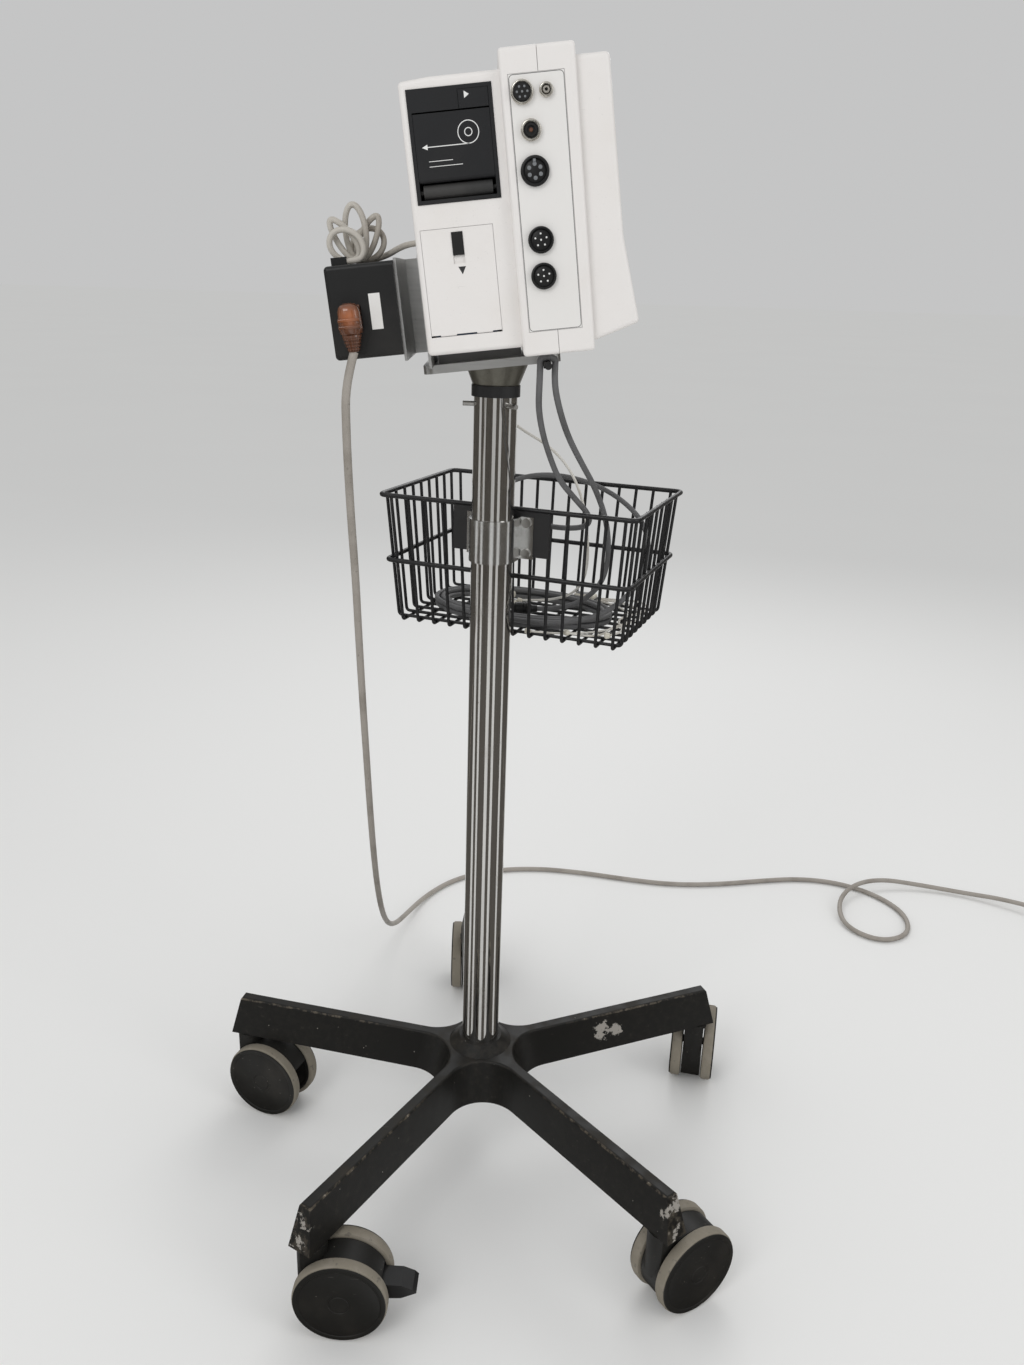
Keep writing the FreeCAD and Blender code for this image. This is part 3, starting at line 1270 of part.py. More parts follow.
def hank():
    """The wound part of the power lead, standing on the supply: long loops side by side that fan out."""
    turns = size("hank_turns")
    cord = size("dc_diameter")
    wide = size("loop_half_width")
    ground = size("psu_foot") + size("psu_height") + cord / 2 + size("part_gap")

    def place(share):
        angle = 2 * math.pi * turns * share
        lean = math.radians(90 + size("loop_lean") * math.sin(2 * math.pi * share)
                            + size("loop_bend") * math.sin(4 * math.pi * share))
        half = (size("loop_length") + size("loop_growth") * math.sin(math.pi * share) ** 2) / 2
        up, out = half * (1 - math.cos(angle)), wide * math.sin(angle)
        lift = math.hypot(half * math.sin(lean), wide * math.cos(lean)) - half * math.sin(lean)
        clear = min(2 * turns * share, 1)
        aside = size("hank_pitch") * turns * share + size("hank_step") * (3 * clear ** 2 - 2 * clear ** 3)
        return tilt_point(size("hank_u") + up * math.cos(lean) + out * math.sin(lean), size("hank_v") + aside,
                          ground + lift + up * math.sin(lean) - out * math.cos(lean))

    count = int(turns * LOOP_POINTS)
    points, tangents = along_turns(count, place)
    self_gap("dc_hank", points, tangents, cord, LOOP_POINTS)
    stub = Part.LineSegment(tilt_point(size("gland_end"), size("hank_v"), ground), points[0]).toShape()
    node("dc_hank", free_shape(tube("dc_hank", [stub] + biarcs(points, tangents), cord)))
    return points[-1], tangents[-1]


def coil():
    """The wound part of the patient cable on the basket floor: it spirals in, climbs a layer and spirals out."""
    turns = size("coil_turns")
    step = size("coil_step")
    cord = size("patient_diameter")
    ground = size("basket_floor") + size("wire_diameter") + cord / 2 + size("part_gap")
    total = 2 * turns + 0.5
    quarter = 0.25

    def place(share):
        turn = total * share
        inward = turn if turn < turns else turns if turn < turns + 0.5 else total - turn
        climb = min(1.0, max(0.0, (turn - turns) / 0.5))
        angle = 2 * math.pi * (turn + quarter)
        long_half = size("coil_half_length") - step * inward
        deep_half = size("coil_half_depth") - step * inward
        return basket_point(size("coil_along") + long_half * math.cos(angle),
                            size("coil_away") + deep_half * math.sin(angle),
                            ground + size("coil_layer") * (3 * climb ** 2 - 2 * climb ** 3))

    count = int(total * TURN_POINTS)
    points, tangents = along_turns(count, place)
    self_gap("cable_coil", points, tangents, cord, TURN_POINTS)
    stub = Part.LineSegment(basket_point(size("yoke_start"), size("coil_away") + size("coil_half_depth"), ground),
                            points[0]).toShape()
    node("cable_coil", free_shape(tube("cable_coil", [stub] + biarcs(points, tangents), cord)))


def heading_turn(points):
    """The turn that stands a solid's own z axis along the end of a route."""
    return Rotation(Vector(0, 0, 1), unit(points[-1] - points[-2]))


def mains_lead():
    back = size("case_back") + size("part_gap") + 2 * size("bracket_wall") + size("bracket_inner")
    start = tilt_point(-back - size("inlet_set"), size("psu_front") - size("connector_depth") / 2,
                       size("inlet_height") - size("connector_height") / 2 - size("boot_length"))
    route = [start] + vectors(MAINS_ROUTE)
    node("mains_cord", free_shape(tube("mains_cord", bends("mains_cord", route), size("mains_diameter"))))
    boot = cone(("0", "0", "0"), "mains_diameter / 2 + 1", "plug_radius * 0.6", "plug_boot")
    grip = cylinder(("0", "0", "plug_boot"), "plug_radius", "plug_length")
    pins = [cylinder(("plug_radius * 0.4 * cos(%g)" % angle, "plug_radius * 0.4 * sin(%g)" % angle,
                      "plug_boot + plug_length"), "contact_radius * 2", "pin_length") for angle in (90, 210, 330)]
    plug = fuse(boot, grip, *pins)
    plug.Placement = Placement(route[-1], heading_turn(route))
    node("mains_plug", plug)


def power_lead():
    wound_end, heading = hank()
    route = [tilt_point(*point) for point in DC_ROUTE]
    route += [wound_end + heading * size("dc_diameter") * 1.5, wound_end]
    node("dc_lead", free_shape(tube("dc_lead", bends("dc_lead", route), size("dc_diameter"))))


def patient_leads():
    coil()
    cord = size("patient_diameter")
    left = [basket_point(*point) for point in PATIENT_LOOP] + vectors(PATIENT_LEFT)
    right = vectors(PATIENT_RIGHT)
    crown = (left[-1] + right[0]) * 0.5 + Vector(0, 0, (right[0] - left[-1]).Length / 2)
    over = Part.Arc(left[-1], crown, right[0]).toShape()
    path = bends("patient_cable left", left) + [over] + bends("patient_cable right", right)
    node("patient_cable", free_shape(tube("patient_cable", path, cord)))
    sensor = vectors(SENSOR_DROP) + [basket_point(*point) for point in SENSOR_IN_BASKET]
    node("sensor_cable", free_shape(tube("sensor_cable", bends("sensor_cable", sensor), size("sensor_diameter"))))
    leads = [[basket_point(*point) for point in route] for route in LEAD_ROUTES]
    wires = [tube("lead_wire", bends("lead_wire", lead), size("lead_diameter")) for lead in leads]
    node("lead_wires", free_shape(Part.makeCompound(wires)))
    ends = []
    for route, radius, length in [(right, "plug_end_radius", "plug_end_length")] + [
            (lead, "clip_radius", "clip_length") for lead in leads]:
        end = group(cylinder(("0", "0", "0"), radius, length))
        end.Placement = Placement(route[-1], heading_turn(route))
        ends.append(end)
    floor = "basket_floor + wire_diameter + part_gap"
    yoke = group(box(("yoke_start", "coil_away + coil_half_depth - yoke_depth / 5", floor),
                     ("yoke_start + yoke_length", "coil_away + coil_half_depth + 4 * yoke_depth / 5",
                      floor + " + yoke_height")))
    in_basket(yoke)
    node("cable_ends", group(yoke, *ends))
    near = SENSOR_IN_BASKET[-1]
    node("finger_sensor", group(box(
        ("%g - sensor_length" % near[0], "%g - sensor_height / 2" % near[1], floor),
        ("%g" % near[0], "%g + sensor_height / 2" % near[1], floor + " + sensor_height"))), in_basket)
    post = box(("peg_u - peg_radius", "peg_front + peg_length - 2 * peg_radius", "-peg_drop - peg_radius"),
               ("peg_u + peg_radius", "peg_front + peg_length", "strip_floor"))
    bar = cylinder(("peg_u", "peg_front + peg_length", "-peg_drop"), "peg_radius", "peg_length", "-y")
    node("cable_peg", fuse(post, bar), tilted)


star_base()
stand_column()
pole_clamp()
wire_basket()
mount()
power_supply()
rear_case()
front_case()
display()
connector_panel()
recorder()
battery()
controls()
casters()
mains_lead()
power_lead()
patient_leads()
doc.recompute()

for thing in doc.Objects:
    if "Invalid" in thing.State or "Error" in thing.State:
        raise RuntimeError("%s failed: %s" % (thing.Label, thing.State))
os.makedirs("parts", exist_ok=True)
for thing in NODES:
    if thing.Shape.isNull() or not thing.Shape.isValid():
        raise RuntimeError("%s has no valid shape" % thing.Label)
    print("%s: %d solids, %.1f cm3" % (thing.Label, len(thing.Shape.Solids), thing.Shape.Volume / 1000))
    thing.Shape.exportStep("parts/%s.step" % thing.Label)
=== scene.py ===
"""Looks of a vital-signs monitor on a five-legged roll stand."""
from math import cos, hypot, pi, radians, sin

import bmesh
import bpy
from mathutils import Matrix, Vector


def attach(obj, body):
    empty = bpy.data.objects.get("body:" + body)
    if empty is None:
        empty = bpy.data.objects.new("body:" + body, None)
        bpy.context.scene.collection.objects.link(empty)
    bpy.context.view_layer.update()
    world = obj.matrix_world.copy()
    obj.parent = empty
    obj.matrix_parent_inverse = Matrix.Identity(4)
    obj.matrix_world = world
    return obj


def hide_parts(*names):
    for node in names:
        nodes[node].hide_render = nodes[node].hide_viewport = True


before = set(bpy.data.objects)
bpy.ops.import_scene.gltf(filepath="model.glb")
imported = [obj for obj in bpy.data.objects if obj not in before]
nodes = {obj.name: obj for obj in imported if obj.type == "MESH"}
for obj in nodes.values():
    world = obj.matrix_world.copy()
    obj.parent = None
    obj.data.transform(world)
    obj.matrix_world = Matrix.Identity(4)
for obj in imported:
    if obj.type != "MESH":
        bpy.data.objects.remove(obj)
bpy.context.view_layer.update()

MM = 0.001
PIVOT = (0, 0, 0.975)
TILT = radians(7.1)
BASKET_TURN = radians(-22.2)
ON_MONITOR = Matrix.Translation(PIVOT) @ Matrix.Rotation(-TILT, 4, "Y") @ Matrix.Scale(MM, 4)
IN_BASKET = Matrix.Rotation(BASKET_TURN, 4, "Z") @ Matrix.Scale(MM, 4)
IN_ROOM = Matrix.Scale(MM, 4)

# Each caster and the bearing that it trails to, in degrees
CASTERS = [("back", 90.0), ("left", -22.4), ("front_left", -3.0), ("front_right", 31.6), ("right", 77.0)]

# Sockets of the Mix node when it mixes colours
MIX_FACTOR, MIX_UNDER, MIX_OVER, MIX_RESULT = 0, 6, 7, 2


class Signal:
    """A socket of a finish. Arithmetic on it adds Math nodes."""

    def __init__(self, finish, socket):
        self.finish = finish
        self.socket = socket

    def __add__(self, other):
        return self.finish.math("ADD", self, other)

    def __sub__(self, other):
        return self.finish.math("SUBTRACT", self, other)

    def __rsub__(self, other):
        return self.finish.math("SUBTRACT", other, self)

    def __mul__(self, other):
        return self.finish.math("MULTIPLY", self, other)

    def __lt__(self, other):
        return self.finish.math("LESS_THAN", self, other)

    def __gt__(self, other):
        return self.finish.math("GREATER_THAN", self, other)

    def __mod__(self, other):
        return self.finish.math("FLOORED_MODULO", self, other)

    __radd__ = __add__
    __rmul__ = __mul__


class Finish:
    """A material on one Principled shader, with its colour kept as layers are laid over it."""

    def __init__(self, name, colour, roughness, **sockets):
        self.material = bpy.data.materials.new(name)
        self.material.use_nodes = True
        self.tree = self.material.node_tree
        self.shader = self.tree.nodes["Principled BSDF"]
        self.colour = (*colour, 1)
        self.feed(self.shader.inputs["Base Color"], self.colour)
        self.feed(self.shader.inputs["Roughness"], roughness)
        for socket, value in sockets.items():
            self.feed(self.shader.inputs[socket.replace("_", " ").title().replace("Ior", "IOR")], value)
        self.place = self.node("ShaderNodeTexCoord", output="Object")

    def feed(self, socket, value):
        if isinstance(value, Signal):
            self.tree.links.new(value.socket, socket)
        else:
            socket.default_value = value

    def node(self, kind, settings=None, sockets=None, output=0):
        """Adds a node, with its settings and the values or links of its sockets."""
        new = self.tree.nodes.new(kind)
        for key, value in (settings or {}).items():
            setattr(new, key, value)
        for key, value in (sockets or {}).items():
            self.feed(new.inputs[key], value)
        return Signal(self, new.outputs[output])

    def math(self, operation, first, second):
        return self.node("ShaderNodeMath", {"operation": operation}, {0: first, 1: second})

    def axis(self, name):
        return self.node("ShaderNodeSeparateXYZ", None, {0: self.place}, name)

    def facing_up(self):
        normal = self.node("ShaderNodeNewGeometry", output="Normal")
        return self.node("ShaderNodeSeparateXYZ", None, {0: normal}, "Z")

    def moved(self, centre=(0, 0, 0), turn=(0, 0, 0), scale=(1, 1, 1)):
        """Object coordinates about a centre, turned and stretched."""
        centred = self.node("ShaderNodeVectorMath", {"operation": "SUBTRACT"}, {0: self.place, 1: centre})
        return self.node("ShaderNodeMapping", None, {"Vector": centred, "Rotation": turn, "Scale": scale})

    def noise(self, scale, detail=2.0, at=None, rough=0.5):
        return self.node("ShaderNodeTexNoise", None, {
            "Vector": at or self.place, "Scale": scale, "Detail": detail, "Roughness": rough})

    def cells(self, scale, at=None):
        return self.node("ShaderNodeTexVoronoi", None, {"Vector": at or self.place, "Scale": scale})

    def fade(self, signal, low, high):
        """0 below low and 1 above high, smooth between, or the other way round."""
        flip = low > high
        ends = {"From Min": min(low, high), "From Max": max(low, high),
                "To Min": float(flip), "To Max": float(not flip)}
        return self.node("ShaderNodeMapRange", {"interpolation_type": "SMOOTHSTEP"}, {0: signal, **ends})

    def near(self, centre, reach, core=0.0):
        """1 within a core round a point, falling to 0 at a reach."""
        away = self.node("ShaderNodeVectorMath", {"operation": "DISTANCE"},
                         {0: self.place, 1: centre}, "Value")
        return self.fade(away, reach, core)

    def lay(self, mask, colour):
        """Lays a colour over the finish where the mask is 1."""
        layers = {MIX_FACTOR: mask, MIX_UNDER: self.colour, MIX_OVER: (*colour, 1)}
        self.colour = self.node("ShaderNodeMix", {"data_type": "RGBA"}, layers, MIX_RESULT)
        self.feed(self.shader.inputs["Base Color"], self.colour)
        return self

    def gloss(self, roughness):
        self.feed(self.shader.inputs["Roughness"], roughness)
        return self

    def raised(self, height, depth, strength=1.0):
        """Bump of a height from 0 to 1 over a depth in metres."""
        bump = self.node("ShaderNodeBump", None, {"Height": height, "Distance": depth, "Strength": strength})
        self.feed(self.shader.inputs["Normal"], bump)
        return self


def moulded(name, colour, roughness, grain, depth, soil, soiling, **sockets):
    """Moulded plastic: a fine spark-eroded grain, uneven shine and a little soil."""
    finish = Finish(name, colour, roughness, **sockets)
    cloud = finish.noise(14, 4)
    speck = finish.noise(420, 2)
    finish.lay(finish.fade(cloud, 0.45, 0.85) * soiling, soil)
    finish.lay(finish.fade(speck, 0.68, 0.75) * soiling, [0.6 * part for part in colour])
    finish.gloss(roughness - 0.08 + 0.16 * finish.noise(35, 3))
    return finish.raised(finish.noise(grain, 2), depth, 0.35)


def case_plastic():
    """Warm white housing, with handling marks and dust in its upper faces."""
    finish = moulded("case_white", (0.815, 0.79, 0.77), 0.42, 1700, 0.0001, (0.58, 0.5, 0.4), 0.14)
    rub = finish.noise(30, 5, finish.moved(turn=(0.4, 0.9, 0.2), scale=(1, 1, 14)), 0.7)
    finish.lay(finish.fade(rub, 0.66, 0.72) * 0.2, (0.42, 0.4, 0.38))
    dust = finish.fade(finish.facing_up(), 0.6, 0.98) * finish.noise(60, 4)
    return finish.lay(dust * 0.22, (0.5, 0.46, 0.4))


def amber_plastic():
    """Clear amber moulding: brown in its depth, with an orange highlight painted in near its top."""
    finish = moulded("amber_connector", (0.115, 0.042, 0.02), 0.22, 500, 0.00006, (0.05, 0.022, 0.012), 0.5,
                     coat_weight=0.7)
    # Painted highlight: a bright orange patch laid over the brown near the connector's top.
    painted_highlight = finish.near((-0.132, -0.119, 1.011), 0.014) * (0.4 + 0.6 * finish.noise(160, 3))
    return finish.lay(painted_highlight, (0.48, 0.15, 0.05))


def metal(name, colour, roughness, stretch, amount, tarnish, **sockets):
    """Drawn, brushed or plated metal: fine lines one way, stains and specks."""
    finish = Finish(name, colour, roughness, metallic=1.0, **sockets)
    lines = finish.noise(200, 3, finish.moved(scale=stretch))
    stain = finish.noise(22, 4)
    finish.lay(finish.fade(lines, 0.35, 0.75) * amount, [0.62 * part for part in colour])
    finish.lay(finish.fade(stain, 0.55, 0.8) * amount, tarnish)
    finish.lay(finish.fade(finish.noise(500, 2), 0.74, 0.78) * 0.8, (0.1, 0.08, 0.06))
    finish.gloss(roughness + 0.22 * finish.fade(stain, 0.45, 0.8) * finish.noise(90, 3))
    return finish.raised(lines, 0.00004, 0.3)


# Where the base has lost its paint: a point, how far round it, and how little of it is gone.
CHIPPED = [
    ((0.157, 0.05, 0.134), 0.03, 0.86), ((0.176, 0.057, 0.131), 0.024, 0.86),
    ((0.207, -0.252, 0.14), 0.045, 0.95), ((0.213, -0.262, 0.115), 0.03, 0.93),
    ((-0.18, -0.278, 0.14), 0.04, 0.96), ((-0.186, -0.28, 0.118), 0.035, 0.96),
]


def base_paint():
    """Black paint on a casting, dusty on top, chipped to primer and bare metal along its edges and ends."""
    finish = Finish("base_paint", (0.0095, 0.009, 0.0078), 0.5, specular_ior_level=0.3)
    up = finish.facing_up()
    dust = finish.fade(up, 0.5, 0.95) * finish.fade(finish.noise(38, 5), 0.42, 0.72)
    finish.lay(dust * 0.5, (0.05, 0.043, 0.034))
    off_hub = 1 - 0.9 * finish.near((0, 0, 0.13), 0.17, 0.11)
    edge = finish.fade(up, 0.12, 0.35) * finish.fade(up, 0.95, 0.8) * off_hub
    chips = finish.noise(120, 5, rough=0.65)
    worn = edge * finish.fade(chips, 0.44, 0.58)
    finish.lay(worn * 0.85, (0.095, 0.079, 0.058))
    finish.lay(edge * finish.fade(chips, 0.63, 0.66), (0.24, 0.21, 0.17))
    gouge = finish.noise(95, 6, rough=0.7)
    for centre, reach, limit in CHIPPED:
        bare = finish.fade(finish.near(centre, reach) * 0.5 + gouge, limit, limit + 0.04)
        finish.lay(bare, (0.32, 0.3, 0.27))
    scrape = finish.noise(26, 4, finish.moved(turn=(0, 0, 0.4), scale=(1, 9, 9)))
    finish.lay(finish.fade(scrape, 0.7, 0.74) * 0.35, (0.06, 0.054, 0.046))
    finish.lay(finish.cells(55) < 0.035, (0.3, 0.28, 0.25))
    finish.gloss(0.36 + 0.3 * dust + 0.16 * finish.noise(48, 3))
    return finish.raised(finish.noise(650, 3) - 0.7 * worn, 0.00022, 0.5)


def plated_tube():
    """Chrome on the tube, with drawn streaks, smears and small rust specks."""
    finish = metal("chrome_tube", (0.7, 0.69, 0.67), 0.06, (2.2, 2.2, 0.03), 0.3, (0.4, 0.36, 0.31))
    specks = finish.cells(260)
    finish.lay((specks < 0.1) * finish.fade(finish.noise(16, 3), 0.5, 0.68), (0.16, 0.1, 0.06))
    return finish


def tyre_rubber():
    """Grey-brown rubber, dusty and scuffed round the tread."""
    finish = Finish("tyre_rubber", (0.225, 0.2, 0.157), 0.78)
    scuff = finish.noise(60, 5, rough=0.7)
    finish.lay(finish.fade(scuff, 0.45, 0.7) * 0.5, (0.29, 0.262, 0.22))
    finish.lay(finish.fade(finish.noise(130, 4), 0.62, 0.7) * 0.6, (0.105, 0.094, 0.08))
    finish.gloss(0.68 + 0.2 * scuff)
    return finish.raised(finish.noise(900, 3), 0.0002, 0.5)


def caster_nylon():
    """Black nylon, dulled and scratched, with pale lint."""
    finish = moulded("caster_nylon", (0.014, 0.0135, 0.012), 0.5, 900, 0.0001, (0.055, 0.048, 0.039), 0.6,
                     specular_ior_level=0.35)
    for turn in (0.5, 2.1):
        lines = finish.noise(34, 4, finish.moved(turn=(turn, turn / 2, turn), scale=(1, 16, 16)))
        finish.lay(finish.fade(lines, 0.7, 0.73) * 0.55, (0.105, 0.1, 0.092))
    return finish.lay(finish.cells(95) < 0.055, (0.15, 0.14, 0.12))


def jacket(name, colour, soil, roughness=0.55):
    """A cord's jacket, soiled along its length, with a faint extruded skin."""
    finish = Finish(name, colour, roughness)
    finish.lay(finish.fade(finish.noise(32, 4), 0.42, 0.75) * 0.55, soil)
    finish.lay(finish.fade(finish.noise(240, 3), 0.66, 0.72) * 0.5, [0.6 * part for part in soil])
    finish.gloss(roughness - 0.1 + 0.2 * finish.noise(90, 3))
    return finish.raised(finish.noise(1300, 2), 0.00015, 0.4)


def coated_wire():
    """Black vinyl dip on the basket's wires, with bumps and dull patches."""
    finish = Finish("black_wire", (0.013, 0.013, 0.014), 0.36)
    wear = finish.noise(60, 4)
    finish.lay(finish.fade(wear, 0.55, 0.75) * 0.5, (0.045, 0.043, 0.04))
    finish.lay(finish.fade(finish.noise(190, 3), 0.71, 0.74), (0.12, 0.11, 0.1))
    finish.gloss(0.26 + 0.3 * wear)
    return finish.raised(finish.noise(300, 2), 0.0003, 0.5)


def chart_paper():
    """Heat-sensitive chart paper with a faint printed grid."""
    finish = Finish("chart_paper", (0.84, 0.82, 0.79), 0.5)
    across = finish.axis("X") % 0.005
    finish.lay((across < 0.0004) * 0.6, (0.8, 0.42, 0.4))
    finish.lay((finish.axis("X") % 0.001 < 0.00015) * 0.3, (0.8, 0.5, 0.48))
    finish.gloss(0.42 + 0.12 * finish.noise(50, 2))
    return finish.raised(finish.noise(2500, 2), 0.00004, 0.4)


def dark_glass():
    """The display window: dark glass with finger smears."""
    finish = Finish("display_glass", (0.014, 0.017, 0.018), 0.07, coat_weight=0.6)
    smear = finish.noise(18, 5, finish.moved(turn=(0, 0, 0.6), scale=(1, 1, 3)))
    finish.lay(finish.fade(smear, 0.55, 0.8) * 0.4, (0.04, 0.044, 0.045))
    return finish.gloss(0.05 + 0.25 * finish.fade(smear, 0.5, 0.8))


def circuit_board():
    """Green board with tracks and solder."""
    finish = Finish("circuit_board", (0.03, 0.12, 0.06), 0.4)
    track = (finish.axis("Z") % 0.004 < 0.0007) * (finish.noise(40, 2) > 0.45)
    finish.lay(track, (0.1, 0.25, 0.12))
    finish.lay(finish.cells(180) < 0.18, (0.5, 0.5, 0.48))
    return finish.raised(track, 0.0001, 0.6)


CASE = case_plastic()
PANEL = moulded("panel_film", (0.8, 0.785, 0.765), 0.34, 2400, 0.00004, (0.6, 0.53, 0.44), 0.1)
CHARCOAL = moulded("recorder_charcoal", (0.0135, 0.014, 0.0158), 0.46, 1300, 0.00014,
                   (0.05, 0.047, 0.043), 0.3, specular_ior_level=0.35)
BLACK = moulded("black_plastic", (0.0115, 0.0115, 0.0118), 0.38, 1100, 0.00012, (0.05, 0.046, 0.04), 0.35,
                specular_ior_level=0.4)
COLLAR = moulded("collar_nylon", (0.018, 0.018, 0.019), 0.46, 800, 0.00012, (0.06, 0.055, 0.05), 0.3)
KEYPAD = moulded("key_rubber", (0.19, 0.2, 0.21), 0.6, 1200, 0.0001, (0.1, 0.1, 0.1), 0.3)
AMBER = amber_plastic()
CREAM = moulded("cream_connector", (0.7, 0.665, 0.57), 0.4, 1500, 0.0001, (0.42, 0.36, 0.27), 0.3)
LABEL = moulded("label_film", (0.82, 0.81, 0.79), 0.4, 2600, 0.00003, (0.45, 0.4, 0.33), 0.25)
INK_WHITE = moulded("white_print", (0.8, 0.8, 0.79), 0.5, 2600, 0.00003, (0.5, 0.48, 0.44), 0.2)
INK_DARK = moulded("dark_print", (0.03, 0.03, 0.033), 0.5, 2600, 0.00003, (0.1, 0.1, 0.1), 0.2)
CELLS = moulded("battery_wrap", (0.05, 0.08, 0.14), 0.35, 900, 0.0001, (0.1, 0.1, 0.1), 0.3)
RUBBER = moulded("roller_rubber", (0.03, 0.03, 0.03), 0.65, 1800, 0.00012, (0.12, 0.11, 0.1), 0.4)
CHROME = plated_tube()
SOCKET_METAL = metal("socket_nickel", (0.72, 0.69, 0.63), 0.24, (1, 1, 1), 0.15, (0.42, 0.37, 0.3))
ALUMINIUM = metal("bracket_aluminium", (0.6, 0.6, 0.59), 0.34, (0.05, 1.6, 1.6), 0.25, (0.42, 0.41, 0.39))
CASTING = metal("head_casting", (0.3, 0.29, 0.25), 0.42, (1, 1, 1), 0.3, (0.17, 0.16, 0.135))
STEEL = metal("screw_steel", (0.52, 0.51, 0.49), 0.28, (1.5, 1.5, 0.2), 0.25, (0.33, 0.3, 0.27))
STRAP = metal("clamp_zinc", (0.74, 0.74, 0.73), 0.16, (0.2, 0.2, 2), 0.14, (0.5, 0.49, 0.47))
DARK_STEEL = metal("rail_steel", (0.13, 0.13, 0.128), 0.42, (0.1, 1.5, 1.5), 0.3, (0.08, 0.075, 0.07))
PAINT = base_paint()
NYLON = caster_nylon()
TYRE = tyre_rubber()
WIRE = coated_wire()
PAPER = chart_paper()
GLASS = dark_glass()
BOARD = circuit_board()
TAUPE_CORD = jacket("mains_jacket", (0.36, 0.33, 0.295), (0.22, 0.195, 0.165))
BEIGE_CORD = jacket("supply_jacket", (0.53, 0.5, 0.45), (0.34, 0.3, 0.25))
GREY_CORD = jacket("patient_jacket", (0.135, 0.135, 0.138), (0.08, 0.079, 0.078))
WHITE_LEAD = jacket("lead_jacket", (0.74, 0.72, 0.67), (0.5, 0.45, 0.37))

DRESS = {
    CASE: ["rear_case", "front_case", "battery_door"],
    PANEL: ["connector_panel"],
    CHARCOAL: ["recorder_frame", "recorder_door", "recorder_button"],
    BLACK: ["psu_case", "battery_latch", "pin_sockets", "brake_pedal"],
    COLLAR: ["pole_collar", "basket_plate", "cable_peg"],
    KEYPAD: ["select_knob", "menu_key", "power_key"],
    CELLS: ["battery_pack"],
    RUBBER: ["platen_roller"],
    PAPER: ["paper_roll"],
    GLASS: ["display_window", "lcd_module"],
    BOARD: ["main_board"],
    CHROME: ["pole"],
    SOCKET_METAL: ["metal_sockets"],
    ALUMINIUM: ["psu_bracket", "mount_plate"],
    CASTING: ["tilt_head"],
    STEEL: ["stand_screws", "caster_stems"],
    STRAP: ["pole_clamp"],
    DARK_STEEL: ["mount_rail"],
    PAINT: ["star_base"],
    NYLON: ["hood_" + name for name, trail in CASTERS],
}
for finish, names in DRESS.items():
    for name in names:
        nodes[name].data.materials.clear()
        nodes[name].data.materials.append(finish.material)


CORNER_STEPS = 6
SHARP = radians(38)


def rounded(form, offset, segments):
    """Rounds every edge of a form."""
    bmesh.ops.bevel(form, geom=form.edges[:], offset=offset, affect="EDGES", segments=segments,
                    profile=0.5, material=-1)


def thickened(form, faces, thickness):
    """Makes flat faces thick towards -y."""
    grown = bmesh.ops.extrude_face_region(form, geom=faces)["geom"]
    corners = [part for part in grown if isinstance(part, bmesh.types.BMVert)]
    bmesh.ops.translate(form, vec=(0, -thickness, 0), verts=corners)


